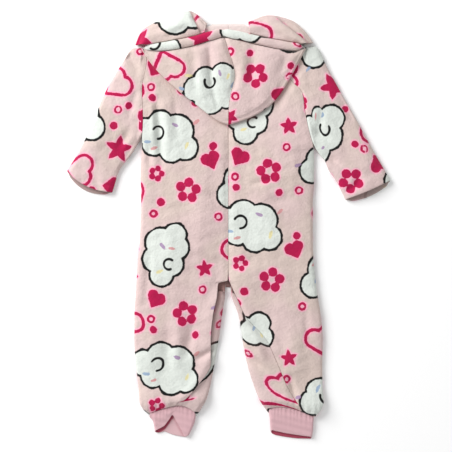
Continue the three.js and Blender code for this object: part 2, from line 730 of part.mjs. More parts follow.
function add(name, geometry, finish) {
  const mesh = new THREE.Mesh(geometry, new THREE.MeshStandardMaterial(finish));
  mesh.name = name;
  onesie.add(mesh);
}

for (const name of ["left", "right"]) {
  add(`back_${name}`, bodyPanel(name, backRow), fleecePrint);
  add(`front_${name}`, bodyPanel(name, frontRow), fleecePrint);
  add(`sleeve_${name}`, sleeve(name), fleecePrint);
  add(`hood_${name}`, hoodSide(name), fleecePrint);
  add(`hood_front_${name}`, hoodFront(name), fleecePrint);
  add(`cuff_${name}`, cuff(name), cuffJersey);
}
add("hood_hem", hoodHem(), fleecePrint);
add("zip", zipStrip(), zipTape);
add("zip_slider", zipSlider(), zipTape);

export default onesie;
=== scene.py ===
# A toddler's hooded fleece onesie, lying flat on its front with the hood down on its back.
# Lengths are in millimetres and become metres when a mesh is made.
# +X is the wearer's right, +Y runs from the ankles to the hood, +Z is up from the floor.

import bpy
import numpy as np
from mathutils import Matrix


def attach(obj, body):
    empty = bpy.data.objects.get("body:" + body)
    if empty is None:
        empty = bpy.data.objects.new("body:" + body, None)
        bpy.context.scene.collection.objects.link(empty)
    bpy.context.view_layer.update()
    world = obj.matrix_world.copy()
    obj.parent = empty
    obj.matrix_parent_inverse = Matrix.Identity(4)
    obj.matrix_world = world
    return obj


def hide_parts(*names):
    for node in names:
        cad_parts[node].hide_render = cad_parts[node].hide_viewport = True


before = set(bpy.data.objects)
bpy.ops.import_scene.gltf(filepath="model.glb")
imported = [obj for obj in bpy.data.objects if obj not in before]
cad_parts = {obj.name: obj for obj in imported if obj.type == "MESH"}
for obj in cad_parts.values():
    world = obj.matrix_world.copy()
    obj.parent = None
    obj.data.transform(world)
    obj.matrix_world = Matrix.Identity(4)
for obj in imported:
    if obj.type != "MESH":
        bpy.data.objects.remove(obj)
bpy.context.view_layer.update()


# ---- Camera, light and floor

camera = {"centreX": -5.3, "centreY": -1.5, "height": 2000, "frameWidth": 858.8, "sensor": 36}

cameraData = bpy.data.cameras.new("camera")
cameraData.sensor_width = camera["sensor"]
cameraData.lens = camera["sensor"] * camera["height"] / camera["frameWidth"]
cameraObject = bpy.data.objects.new("camera", cameraData)
cameraObject.location = (camera["centreX"] / 1000, camera["centreY"] / 1000, (camera["height"] + 10) / 1000)
bpy.context.scene.collection.objects.link(cameraObject)
bpy.context.scene.camera = cameraObject

lamps = [  # name, place, size, watts
    ("softbox_window", (-2.6, 1.9, 1.9), 2.15, 163),
    ("softbox_fill", (1.8, -1.6, 2.8), 2.4, 10),
]
for name, place, size, watts in lamps:
    lampData = bpy.data.lights.new(name, "AREA")
    lampData.size = size
    lampData.energy = watts
    lamp = bpy.data.objects.new(name, lampData)
    lamp.location = place
    lamp.rotation_euler = (-lamp.location).to_track_quat("-Z", "Y").to_euler()
    bpy.context.scene.collection.objects.link(lamp)

world = bpy.data.worlds.new("studio")
world.use_nodes = True
world.node_tree.nodes["Background"].inputs["Color"].default_value = (1, 1, 1, 1)
world.node_tree.nodes["Background"].inputs["Strength"].default_value = 0.55
bpy.context.scene.world = world
bpy.context.scene.view_settings.view_transform = "Standard"

floorMesh = bpy.data.meshes.new("floor")
floorMesh.from_pydata([(-4, -4, -0.0004), (4, -4, -0.0004), (4, 4, -0.0004), (-4, 4, -0.0004)], [], [(0, 1, 2, 3)])
floor = bpy.data.objects.new("floor", floorMesh)
bpy.context.scene.collection.objects.link(floor)
print("camera, light and floor")


# ---- The cut and the lie of the cloth, the same as the solids have

fleeceThick = 3
jerseyThick = 2.2
seamGap = 0.1
armholeGap = 0.12
rollGap = 1.5
cuffGap = 0.45
seamX = -1
zipHalfWidth = 5
zipTop = 330
zipFoot = -118
frontZ = 1.5
backZ = 7.1
hoodUnderZ = 10.55
hoodTopZ = 15.35
hoodFrontZ = 14.2
hemRollZ = 12.9
cuffLowZ = 1.1
cuffTopZ = 6.2
edgeRadius = (backZ - frontZ) / 2
quarterTurn = edgeRadius * np.pi / 2
halfTurn = edgeRadius * np.pi
neckCurlReach = 5
hoodUnderBow = 12

# columns: outer, outerY, back, backY, front, frontY, sideTurn, legTurn
bodyRows = {
    "left": np.array([
        [159, 337, 0, 377.7, 0, 338, 0, 0],
        [155, 312, 0, 347, 0, 316, 0, 0],
        [159, 287, 0, 312, 0, 292, 0, 0],
        [164, 258, 0, 276, 0, 264, 0, 0],
        [162.5, 228, 0, 240, 0, 234, 0, 0],
        [162, 198, 0, 204, 0, 202, 0, 0],
        [163.5, 168, 0, 168, 0, 168, 0, 0],      # underarm
        [165, 140, 0, 138, 0, 140, 1, 0],
        [167, 95, 0, 95, 0, 95, 1, 0],
        [166, 38, 0, 38, 0, 38, 1, 0],
        [168, -19, 0, -19, 0, -19, 1, 0],
        [173, -76, 0, -72, 0, -76, 1, 0],
        [175, -108, 1, -104, 0, -110, 1, 0],     # back crotch
        [176, -124, 19, -111, 3, -126, 1, 0.5],  # front crotch
        [177, -140, 21, -134, 7, -143, 1, 1],
        [179, -173, 29, -173, 12, -174, 1, 1],
        [179, -218, 33, -218, 18, -218, 1, 1],
        [176, -266, 33, -262, 26, -264, 1, 1],
        [171, -308, 58, -304, 34, -306, 1, 1],
        [168.5, -342, 83, -331, 43, -338, 1, 1],
        [163.5, -355, 94, -336, 50, -352, 1, 1],
        [150, -369, 100, -343.3, 60, -369, 1, 1],
    ]),
    "right": np.array([
        [139, 338, 0, 377.7, 0, 338, 0, 0],
        [119, 316, 0, 347, 0, 318, 0, 0],
        [109, 292, 0, 312, 0, 294, 0, 0],
        [122, 273, 0, 282, 0, 272, 0, 0],
        [141, 250, 0, 252, 0, 248, 0, 0],
        [145, 222, 0, 221, 0, 220, 0, 0],
        [152, 185, 0, 185, 0, 185, 0, 0],
        [161, 152, 0, 152, 0, 152, 0, 0],        # underarm
        [164, 130, 0, 130, 0, 130, 1, 0],
        [164, 95, 0, 95, 0, 95, 1, 0],
        [161, 38, 0, 38, 0, 38, 1, 0],
        [161, -19, 0, -19, 0, -19, 1, 0],
        [163, -76, 0, -72, 0, -76, 1, 0],
        [167, -108, 1, -102, 0, -110, 1, 0],     # back crotch
        [169, -126, 5, -113, 2, -128, 1, 0.5],   # front crotch
        [172, -145, 18, -142, 10, -146, 1, 1],
        [176, -171, 32, -172, 20, -174, 1, 1],
        [180, -218, 73, -219, 27, -218, 1, 1],
        [179, -268, 94, -264, 37, -268, 1, 1],
        [180, -309, 112, -306, 50, -309, 1, 1],
        [182, -338, 128, -333, 60, -336, 1, 1],
        [178, -353, 135, -343, 66, -347, 1, 1],
        [165, -370, 139, -354, 75, -361, 1, 1],
    ]),
}
underarm = {"left": 6, "right": 7}
sign = {"left": -1, "right": 1}
neckRise = {"back": 8, "front": 25}
footShape = {  # a foot edge's rise between its ends: constant, times the share along it, times that squared
    "left": {"back": (0, 16, -5), "flap": (12, 13, -25), "front": (0, 104, -104)},
    "right": {"back": (0, 5, 0), "flap": (12, 13, -25), "front": (0, 64, -64)},
}
footRows = 3

# columns: foldX, foldY, underX, underY
sleeveRows = {
    "left": np.array([
        [-160, 337, -164.5, 168], [-181, 337, -178, 146], [-207, 302, -192, 126], [-236, 252, -204, 112],
        [-257, 202, -212, 97], [-281, 150, -216, 82], [-308, 104, -221, 63],
    ]),
    "right": np.array([
        [138, 338, 160, 152], [164, 341, 172, 135], [190, 296, 183, 122], [219, 244, 190, 105],
        [246, 197, 201, 90], [276, 142, 211, 72], [308, 86, 222, 49],
    ]),
}
hemBow = {"left": {"top": 11, "low": 17, "beyond": 2.5}, "right": {"top": 2, "low": 9, "beyond": 4}}

# columns: foldX, foldY, topY, underY
hoodRows = {
    "left": np.array([
        [-166, 334, 355, 376.8], [-144, 302, 326, 340], [-103, 261, 284, 296], [-68, 233, 250, 259],
        [-36, 208, 223, 227], [-18, 196, 205, 207], [-1, 190, 197, 197],
    ]),
    "right": np.array([
        [147, 336, 355, 376.8], [128, 300, 326, 340], [95, 245, 284, 290], [73, 223, 250, 254],
        [45, 206, 223, 225], [15, 195, 205, 205], [-1, 190, 197, 197],
    ]),
}

# the hood's centre seam wanders on its top layer; columns: y, x
hoodSeam = np.array([[355, -8], [326, 1], [305, 8], [284, 11.5], [250, 4], [223, 0], [196, -1]])

# columns: x, y, half, height
rollRows = np.array([
    [-160, 336, 4, 3], [-128, 338, 8, 6.5], [-100, 342, 9, 7.5], [-67, 349, 9, 8], [-30, 359.5, 9, 8],
    [-8, 364, 8, 6], [8, 361, 8.5, 6.8], [50, 351.5, 8.5, 8], [96, 342, 8.5, 7.5], [128, 338, 7.5, 6.5],
    [140, 338, 3.5, 3],
])

# columns: rollX, foldX, foldY, foldZ, neck
lobeRows = {
    "left": np.array([
        [-155, -178, 343, 9.5, 0.985], [-138, -167, 369, 8.5, 0.86], [-110, -128, 392, 7.1, 0.64],
        [-72, -76, 408, 7.1, 0.34], [-46, -41, 384, 13.9, 0.04],
    ]),
    "right": np.array([
        [137, 161, 347, 9.5, 0.985], [126, 147, 367, 8.5, 0.86], [104, 118, 391, 7.1, 0.64],
        [70, 76, 400, 8, 0.34], [40, 37, 387, 13.9, 0.04],
    ]),
}

# columns: leftX, rightX
cuffRows = {
    "left": np.array([[-152, -62], [-144, -65], [-141.5, -71], [-140, -77]]),
    "right": np.array([[76, 162], [78, 161], [79, 160], [80, 158]]),
}
# columns: share of the width, topLip, lowLip
cuffLips = {
    "left": np.array([
        [0, -391, -394.8], [0.1, -388, -395.8], [0.27, -382, -393.8], [0.42, -370, -397], [0.52, -361.5, -399.5],
        [0.62, -372, -401], [0.8, -391, -403], [0.9, -402.5, -403.8], [1, -400.4, -400.8],
    ]),
    "right": np.array([
        [0, -389.5, -396.5], [0.12, -392, -400.5], [0.4, -396.5, -404.5], [0.7, -400, -407], [1, -403, -407.5],
    ]),
}


# ---- Curves and small functions

def alongTable(rows, place):
    # A smooth curve through each column that never swings past its rows: a cubic between two rows,
    # whose slope at a row is the harmonic mean of the steps before and after it, or nothing at a turn.
    last = len(rows) - 1
    i = np.clip(np.floor(place).astype(int), 0, last - 1)
    t = (place - i)[..., None]
    step = np.diff(rows, axis=0)
    before = np.vstack([step[:1], step])
    after = np.vstack([step, step[-1:]])
    same = before * after > 0
    slope = np.where(same, 2 * before * after / np.where(same, before + after, 1), 0)
    a, b = rows[i], rows[i + 1]
    curve = a + (b - a) * t * t * (3 - 2 * t) + t * (1 - t) ** 2 * slope[i] - t * t * (1 - t) * slope[i + 1]
    return np.moveaxis(curve, -1, 0)


def bow(s):
    return 4 * s * (1 - s)


def mix(a, b, s):
    return a + (b - a) * s


def smooth(low, high, x):
    t = np.clip((x - low) / (high - low), 0, 1)
    return t * t * (3 - 2 * t)


def bell(x, width):
    return np.exp(-(x / width) ** 2)


def pair(x, y):
    return np.stack(np.broadcast_arrays(x, y), axis=-1)


def heading(a, b):
    away = b - a
    return away / np.linalg.norm(away, axis=-1, keepdims=True)


def bent(length, whole, bend):
    # A strip that bends evenly through `bend`: the angle reached, how far it goes and how far it rises.
    angle = bend * length / whole
    safe = np.where(bend < 0.01, 1, bend)
    reach = np.where(bend < 0.01, length, whole / safe * np.sin(angle))
    rise = np.where(bend < 0.01, 0, whole / safe * (1 - np.cos(angle)))
    return angle, reach, rise


lip = np.array([0, 0.45, 1.1, 2.0])    # distances at which a wall rounds off towards a free edge


def spaced(length, step):
    # Distances from 0 to length: close together at both ends and even in between, as shares of the length.
    count = max(2, round((float(np.max(length)) - 2 * lip[-1]) / step))
    ends = lip / np.asarray(length)[..., None]
    inner = mix(ends[..., -1:], 1 - ends[..., -1:], np.linspace(0, 1, count + 1)[1:-1])
    return np.concatenate([ends, inner, 1 - ends[..., ::-1]], axis=-1)


sewn = 0.15    # a sewn edge is hardly rounded, so that the pile closes over its seam


def rounding(distance, thick, reach=0.6):
    # Half the wall's thickness at a distance from its edge: a quarter circle, then constant.
    return thick / 2 * np.sqrt(1 - (1 - np.clip(distance / (reach * thick), 0, 1)) ** 2)


# ---- Relief: listed creases, soft swells and the dips along seams

relief = {
    "puff": 6.0,          # how far the cloth stands up between its edges
    "edgeReach": 6,       # half of it rises over this from an edge
    "puffReach": 38,      # and half over this
    "ankle": 4.5,         # more above a gathered ankle
    "seamDip": 2.6,
    "seamWidth": 7,
    "armhole": {"left": 0.35, "right": 0.8},  # share of that dip at each armhole
    "swell": 1.3,         # slow rise and fall of the cloth all over
    "overhang": 2.2,      # how far the back panel stands over the front's strip on the left leg
    "strip": 3.2,         # how far that strip sinks
}

# columns: x0, y0, x1, y1, width, height
bodyCreases = np.array([
    [-137, 238, -127, 112, 7, -5.6], [-152, 148, -151, 112, 6, -4.0], [-122, 225, -113, 150, 7, 2.4],
    [-104, 238, -97, 168, 7, -2.6], [-146, 228, -142, 160, 6, 2.2],
    [46, 79, 80, 86, 6, -3.2], [-60, 60, -24, 50, 9, -2.0], [72, 40, 120, 52, 9, -2.2],
    [-60, 150, -52, -60, 26, 2.4], [70, 150, 84, -80, 30, 2.2], [-110, 60, -116, -90, 24, 2.2],
    [118, 110, 124, -60, 22, 2.2], [8, -80, 60, -58, 9, -2.4], [-10, -84, -62, -56, 9, -2.4],
    [-20, -100, -46, -150, 10, -2.0], [24, -128, 60, -170, 10, -2.0],
    [-30, -237, -62, -255, 6, -6.0], [-36, -252, -66, -300, 9, 3.4], [-66, -300, -92, -330, 8, 2.4],
    [-71, -194, -81, -250, 10, -5.6], [-112, -205, -118, -275, 11, -3.4],
    [-94, -170, -100, -250, 14, 2.6], [-140, -170, -146, -260, 12, 2.0],
    [36, -248, 66, -272, 7, -5.4], [116, -292, 128, -334, 6, -5.4], [96, -205, 104, -262, 11, -3.4],
    [128, -200, 134, -280, 13, 2.6], [146, -160, 152, -225, 8, -3.0], [50, -192, 86, -230, 6, -3.4],
    [46, -204, 68, -262, 9, 3.4], [68, -238, 94, -262, 6, -2.6], [-150, -60, -158, -150, 8, -3.0],
    [166, 180, 186, 166, 7, -4.6], [188, 132, 208, 117, 7, -4.6], [176, 216, 168, 168, 8, -3.0],
    [232, 180, 258, 118, 14, 2.8], [214, 250, 236, 204, 9, -3.2], [250, 96, 232, 62, 8, -2.6],
    [-199, 335, -174, 299, 10, -6.0], [-236, 190, -262, 130, 14, 2.8], [-190, 180, -208, 148, 8, -4.4],
    [-176, 250, -192, 205, 8, -3.2], [-262, 108, -246, 74, 8, -2.6], [-176, 160, -196, 132, 7, -2.6],
])
hoodCreases = np.array([
    [-56, 330, -50, 250, 9, 2.6], [-37, 338, -33, 268, 5.5, -4.6], [-33, 268, -22, 226, 6, -3.0],
    [-18, 336, -10, 250, 11, 3.6], [14, 300, 12, 262, 5, -3.0],
    [-70, 322, -64, 262, 8, -2.2], [-110, 315, -76, 262, 18, 2.4], [88, 318, 60, 250, 22, 2.4],
    [28, 330, 24, 262, 10, 2.4], [46, 334, 42, 270, 8, -2.6], [-128, 322, -96, 290, 8, -2.0],
    [112, 322, 92, 284, 8, -2.0],
])
lobeCreases = np.array([
    [84, 400, 150, 344, 3.6, -2.6], [70, 392, 138, 340, 8, 2.2], [-120, 352, -84, 372, 8, -2.6],
    [-74, 406, -62, 380, 4.5, -5.0], [-56, 400, -46, 380, 6, 2.5], [-98, 400, -92, 372, 10, 2.2], [60, 366, 96, 358, 7, -2.0],
    [-146, 362, -118, 380, 7, -2.2],
])


def creaseHeight(creases, x, y):
    # Sum of a bell across each line, fading to half its height at the line's ends.
    total = np.zeros(np.shape(x))
    for x0, y0, x1, y1, width, height in creases:
        dx, dy = x1 - x0, y1 - y0
        near = np.clip(((x - x0) * dx + (y - y0) * dy) / (dx * dx + dy * dy), 0, 1)
        away = np.hypot(x - x0 - dx * near, y - y0 - dy * near)
        total += height * (0.5 + 0.5 * bow(near)) * bell(away, width)
    return total


draw = np.random.default_rng(11)
waveTurns = draw.uniform(0, 2 * np.pi, 28)
waveLengths = np.concatenate([draw.uniform(38, 150, 14), draw.uniform(13, 34, 14)])
wavePhases = draw.uniform(0, 2 * np.pi, 28)


def swell(x, y):
    # Sum of sine waves with drawn headings, lengths and phases; longer waves stand higher.
    total = np.zeros(np.shape(x))
    for turn, length, phase in zip(waveTurns, waveLengths, wavePhases):
        total += (length / 150) * np.sin(2 * np.pi * (x * np.cos(turn) + y * np.sin(turn)) / length + phase)
    return relief["swell"] * total / 2


def domed(distance):
    # 0 at an edge, rising fast at first and then slowly to 1.
    return 1 - 0.5 * np.exp(-distance / relief["edgeReach"]) - 0.5 * np.exp(-distance / relief["puffReach"])


hoodEdge = np.vstack([hoodRows["left"][:, :2], hoodRows["right"][::-1, :2]])


def belowHood(x, y):
    # How far a point lies down the back from the hood's edge, negative beneath the hood.
    return np.interp(x, hoodEdge[:, 0], hoodEdge[:, 1], left=400, right=400) - y


def clearOfHood(x, y):
    # 1 on the open back, falling to 0 where the hood lies on it and presses it flat.
    return smooth(-2, 42, belowHood(x, y))


def bodyRelief(name, place, x, y):
    # Puff that starts at the garment's own edges, with creases, swells and seam dips.
    outer, _, back, _, front, _, sideTurn, legTurn = alongTable(bodyRows[name], place)
    out = sign[name] * (x - seamX)
    puff = relief["puff"] * mix(1, domed(np.maximum(outer - out, 0)), sideTurn)
    puff = puff * mix(1, domed(np.maximum(out - front, 0)), legTurn)
    shows = 1 - 0.75 * legTurn * smooth(-186, -214, y) if name == "right" else 1 - 0.8 * legTurn
    armhole = relief["armhole"][name] * (1 - sideTurn)
    seams = shows * bell(out - back, relief["seamWidth"]) + armhole * bell(outer - out, relief["seamWidth"])
    height = puff - relief["seamDip"] * np.minimum(seams, 1)
    if name == "left":
        lap = legTurn * smooth(-345, -300, y)
        height = height + lap * relief["overhang"] * bell(np.maximum(out - back, 0), 12) * (out >= back)
        height = height - lap * relief["strip"] * (out < back)
    return (height + creaseHeight(bodyCreases, x, y) + swell(x, y)) * clearOfHood(x, y)


def ankleRelief(x, away):
    # The leg stands fuller just above its cuff, and is gathered into it in small uneven pleats.
    full = relief["ankle"] * bell(away - 24, 22)
    pleats = 1.3 * np.sin(2 * np.pi * x / 10.5 + 1.4 * np.sin(x / 7)) * np.exp(-away / 14)
    return (full + pleats) * (1 - np.exp(-away / 4)) - 1.2 * np.exp(-away / 3)


def footRise(name, zone, s):
    # How far a foot edge rises above the straight line between its ends, a quadratic in the share along it.
    a, b, c = footShape[name][zone]
    s = np.clip(s, 0, 1)
    return a + b * s + c * s * s


# ---- Making meshes

def asMesh(name, points, quads):
    # A quad that names a point twice in a row is a triangle.
    kept = quads != np.roll(quads, -1, axis=1)
    whole = kept.sum(axis=1) > 2
    counts = kept.sum(axis=1)[whole]
    loops = quads[whole][kept[whole]]
    mesh = bpy.data.meshes.new(name)
    mesh.vertices.add(len(points))
    mesh.vertices.foreach_set("co", (points / 1000).astype(np.float32).ravel())
    mesh.loops.add(len(loops))
    mesh.loops.foreach_set("vertex_index", loops.astype(np.int32))
    mesh.polygons.add(len(counts))
    mesh.polygons.foreach_set("loop_start", (np.cumsum(counts) - counts).astype(np.int32))
    mesh.polygons.foreach_set("use_smooth", np.ones(len(counts), dtype=bool))
    mesh.update(calc_edges=True)
    mesh.validate()
    return mesh


def gridQuads(index):
    return np.stack([index[:-1, :-1], index[:-1, 1:], index[1:, 1:], index[1:, :-1]], axis=-1).reshape(-1, 4)


def sheetQuads(index):
    # Quads whose corner cells are cut in two through the corner, so that the two faces don't coincide there.
    quads = gridQuads(index)
    wide = index.shape[1] - 1
    corners = [0, wide - 1, len(quads) - wide, len(quads) - 1]
    cut = np.stack([np.roll(quads[cell], -first) for cell, first in zip(corners, (0, 1, 3, 2))])
    return np.concatenate([np.delete(quads, corners, axis=0), cut[:, [0, 1, 2, 2]], cut[:, [0, 2, 3, 3]]])


def ringQuads(index):
    return gridQuads(np.hstack([index, index[:, :1]]))


def enclosed(points, quads):
    a, b, c, d = (points[quads[:, k]] for k in range(4))
    return float((a * np.cross(b, c)).sum() + (a * np.cross(c, d)).sum()) / 6


def compacted(points, quads):
    # The points that the quads use, the quads on them facing outwards, and which points those are.
    if enclosed(points, quads) < 0:
        quads = quads[:, ::-1]
    used = np.unique(quads)
    renumber = np.zeros(len(points), dtype=int)
    renumber[used] = np.arange(len(used))
    return points[used], renumber[quads], used


pieces = {}


def clothWall(name, middle, normal, half, u, v, ring=False, shade=None):
    # A closed wall: outer face = middle + half * normal, inner face = middle - half * normal.
    # Where half is 0, at a free edge, the two faces share their points.
    # shade holds painted shade, how dark each face is painted in its folds and hollows: the outer face's values, then
    # the inner face's.
    rows, across = middle.shape[:2]
    outerIndex = np.arange(rows * across).reshape(rows, across)
    innerIndex = outerIndex + rows * across
    shared = half < 1e-6
    innerIndex = np.where(shared, outerIndex, innerIndex)
    offset = normal * half[..., None]
    points = np.concatenate([(middle + offset).reshape(-1, 3), (middle - offset).reshape(-1, 3)])
    around = ringQuads if ring else sheetQuads
    quads = np.concatenate([around(outerIndex), around(innerIndex)[:, ::-1]])
    points, quads, used = compacted(points, quads)
    mesh = asMesh(name, points, quads)
    addField(mesh, "inside", (used >= rows * across).astype(float))
    if shade is not None:
        addField(mesh, "shade", np.concatenate([face.ravel() for face in shade])[used])
    pieces[name] = {"mesh": mesh, "u": np.tile(u.ravel(), 2)[used], "v": np.tile(v.ravel(), 2)[used]}
    return mesh


def addField(mesh, name, values):
    mesh.attributes.new(name, "FLOAT", "POINT").data.foreach_set("value", values.astype(np.float32))


def unrolled(middle, turn, direction, back=None):
    # Coordinates on the flat cloth: v runs along the panel, u is measured across it round its folds.
    # On a tube, the columns from `back` on are measured backwards, so that the break is at the seam there.
    across = np.array([np.cos(turn), np.sin(turn)])
    along = np.array([-np.sin(turn), np.cos(turn)])
    flat = middle[..., :2] @ across
    steps = np.hypot(np.diff(flat, axis=1), np.diff(middle[..., 2], axis=1))
    travelled = np.concatenate([np.zeros((len(flat), 1)), np.cumsum(steps, axis=1)], axis=1)
    if back is not None:
        closing = np.hypot(flat[:, -1] - flat[:, 0], middle[:, -1, 2] - middle[:, 0, 2])
        travelled[:, back:] -= (travelled[:, -1] + closing)[:, None]
    return flat[:, :1] + direction * travelled, middle[..., :2] @ along


def nearFoot(name, place):
    return np.clip(1 - (len(bodyRows[name]) - 1 - place) / footRows, 0, 1)


def nearTop(place):
    return np.clip(1 - place, 0, 1) ** 2


def rowPlaces(name, step):
    # Places down the table whose rows are evenly spaced down the panel, and close together at its ends.
    fine = np.linspace(0, len(bodyRows[name]) - 1, 2000)
    _, outerY, _, backY, _, frontY, _, _ = alongTable(bodyRows[name], fine)
    length = np.concatenate([[0], np.cumsum(np.abs(np.diff((outerY + backY + frontY) / 3)))])
    distance = spaced(length[-1], step) * length[-1]
    return np.interp(distance, length, fine), distance, length[-1]


def edgeDistance(distance, length):
    return np.minimum(distance, length - distance)


# ---- Back panels

bodyStep = 2.2


def backPanel(name):
    side = sign[name]
    place, down, length = rowPlaces(name, bodyStep)
    outerHalf, outerY, backHalf, backY, _, _, sideTurn, _ = (c[:, None] for c in alongTable(bodyRows[name], place))
    inner = pair(seamX + side * (backHalf + seamGap / 2), backY)
    outer = pair(seamX + side * outerHalf, outerY)
    out = heading(inner, outer)
    bend = sideTurn * np.pi / 2
    tuck = bent(quarterTurn, quarterTurn, bend)[1] + fleeceThick / 2 * np.sin(bend)
    start = outer - out * tuck[..., None]
    flat = np.linalg.norm(start - inner, axis=-1)
    whole = flat + quarterTurn - seamGap / 2
    travelled = spaced(whole[:, 0], bodyStep) * whole
    over = np.maximum(travelled - flat, 0)
    angle, reach, drop = bent(over, quarterTurn, bend)
    base = inner + out * np.minimum(travelled, flat)[..., None] + out * reach[..., None]
    s = np.clip(travelled / flat, 0, 1)
    x = base[..., 0]
    foot = footRise(name, "back", (side * (x - seamX) - backHalf) / (outerHalf - backHalf))
    y = base[..., 1] + bow(s) * neckRise["back"] * nearTop(place)[:, None] + foot * nearFoot(name, place)[:, None]
    away = (length - down)[:, None] + 0 * x
    height = (bodyRelief(name, place[:, None] + 0 * x, x, y) + ankleRelief(x, away)) * np.cos(angle)
    middle = np.stack([x, y, backZ - drop + height], axis=-1)
    normal = np.stack([out[..., 0] * np.sin(angle), out[..., 1] * np.sin(angle), np.cos(angle)], axis=-1)
    edge = np.minimum(edgeDistance(travelled, whole), edgeDistance(down, length)[:, None])
    u, v = unrolled(middle, 0, side)
    # Painted shadow: the back is darkened along and just below the hood's edge, more on the right, where the hood would
    # shade it.
    paintedContactShadow = mix(0.12, 0.45, smooth(-25, 20, x)) * smooth(8, 1, belowHood(x, y))
    clothWall(f"fleece_back_{name}", middle, normal, rounding(edge, fleeceThick, sewn), u, v, shade=(paintedContactShadow, 0 * x))


for name in ("left", "right"):
    backPanel(name)
print("back panels")


# ---- Front panels: flat on the floor, then round the inner edge of each leg to the inseam

frontStep = 3.0


# Painted shade on each leg's flap where it runs under the back panel's edge.
foldShade = {"left": 0.8, "right": 0.15}  # how dark the flap is where it runs under the back's edge


def frontPanel(name):
    side = sign[name]
    place, down, length = rowPlaces(name, frontStep)
    columns = alongTable(bodyRows[name], place)
    outerHalf, outerY, backHalf, backY, frontHalf, frontY, sideTurn, legTurn = (c[:, None] for c in columns)
    zipRoom = (zipHalfWidth + seamGap) * (1 - legTurn)
    outer = pair(seamX + side * outerHalf, outerY)
    inner = pair(seamX + side * (frontHalf + zipRoom), frontY)
    inseam = pair(seamX + side * (backHalf - seamGap / 2), backY)
    out = heading(inner, outer)
    bend = sideTurn * np.pi / 2
    tuck = bent(quarterTurn, quarterTurn, bend)[1] + fleeceThick / 2 * np.sin(bend)
    start = outer - out * tuck[..., None]
    curl = legTurn * np.pi
    widest = np.minimum(curl, np.pi / 2)
    strip = 1 - legTurn
    safe = np.where(curl < 0.01, 1, curl)
    reach = np.where(curl < 0.01, halfTurn, halfTurn / safe * np.sin(widest))
    turned = inner + out * (reach + fleeceThick / 2 * np.sin(widest) + strip)[..., None]
    lipAngle, lipReach, lipRise = bent(halfTurn, halfTurn, curl)
    lipPoint = turned - out * lipReach[..., None]
    laid = smooth(0.5, 1, legTurn)
    end = mix(lipPoint - out * (strip * np.cos(curl))[..., None], inseam, laid[..., None])
    endZ = mix(frontZ + lipRise + strip * np.sin(curl), backZ, laid)
    sideLength = quarterTurn - seamGap / 2
    floorLength = np.linalg.norm(turned - start, axis=-1)
    flapLength = np.maximum(np.linalg.norm(end - lipPoint, axis=-1), 0.5)
    marks = np.cumsum([sideLength + 0 * floorLength, floorLength, halfTurn + 0 * floorLength, flapLength], axis=0)
    whole = marks[-1]
    travelled = spaced(whole[:, 0], frontStep) * whole
    beforeFloor = np.clip(marks[0] - travelled, 0, None)
    onFloor = np.clip(travelled - marks[0], 0, floorLength)
    onCurl = np.clip(travelled - marks[1], 0, halfTurn)
    onFlap = np.clip((travelled - marks[2]) / flapLength, 0, 1)
    sideAngle, sideReach, sideRise = bent(beforeFloor, quarterTurn, bend)
    curlAngle, curlReach, curlRise = bent(onCurl, halfTurn, curl)
    base = start + out * (sideReach - onFloor - curlReach)[..., None]
    base = base + (end - lipPoint) * onFlap[..., None]
    z = frontZ + sideRise + curlRise + (endZ - frontZ - lipRise) * onFlap
    s = np.clip(onFloor / floorLength, 0, 1)
    foot = nearFoot(name, place)[:, None]
    top = nearTop(place)[:, None]
    upper = np.where(curl > 0.01, (1 - np.cos(curlAngle)) / 2, 0) * legTurn
    x = base[..., 0]
    beyond = side * (x - seamX) - frontHalf
    low = footRise(name, "front", beyond / (outerHalf - frontHalf)) * (1 - upper)
    high = footRise(name, "flap", beyond / np.maximum(backHalf - frontHalf, 1)) * upper
    corner = footRise(name, "back", 1.0) * (1 - np.cos(sideAngle))
    y = base[..., 1] + bow(s) * neckRise["front"] * top + (low + high + corner) * foot
    away = (length - down)[:, None] + 0 * x
    placeHere = place[:, None] + 0 * x
    height = (bodyRelief(name, placeHere, x, y) + ankleRelief(x, away)) * upper
    floorDents = (creaseHeight(frontCreases, x, y) + 0.4) * bow(s) * (1 - upper)
    z = z + height + np.maximum(floorDents, 0)
    lean = sideAngle - curlAngle
    middle = np.stack([x, y, z], axis=-1)
    normal = np.stack([out[..., 0] * np.sin(lean), out[..., 1] * np.sin(lean), -np.cos(lean)], axis=-1)
    edge = np.minimum(edgeDistance(travelled, whole), edgeDistance(down, length)[:, None])
    u, v = unrolled(middle, 0, side)
    # Painted shade: the crotch, and the flap where it runs under the back's edge, are darkened where they would lie in
    # shade.
    crotch = smooth(-133, -124, y) * smooth(26, 18, np.abs(x + 8))
    under = foldShade[name] * smooth(-0.3, 0.7, onFlap) * mix(0.4, 1, smooth(-225, -125, y)) * smooth(-300, -235, y)
    shade = np.maximum(crotch, under * (legTurn > 0.2))
    clothWall(f"fleece_front_{name}", middle, normal, rounding(edge, fleeceThick, sewn), u, v,
              shade=(shade * (z > 3), crotch))


frontCreases = np.array([
    [-120, 260, -60, 230, 14, 0.8], [-60, 60, -50, -60, 16, 0.7], [70, 220, 120, 180, 14, 0.8],
    [80, 20, 96, -90, 18, 0.7], [-100, -200, -90, -290, 12, 0.8], [110, -190, 116, -280, 12, 0.7],
])
for name in ("left", "right"):
    frontPanel(name)
print("front panels")


# ---- Sleeves

sleeveStep = 2.2


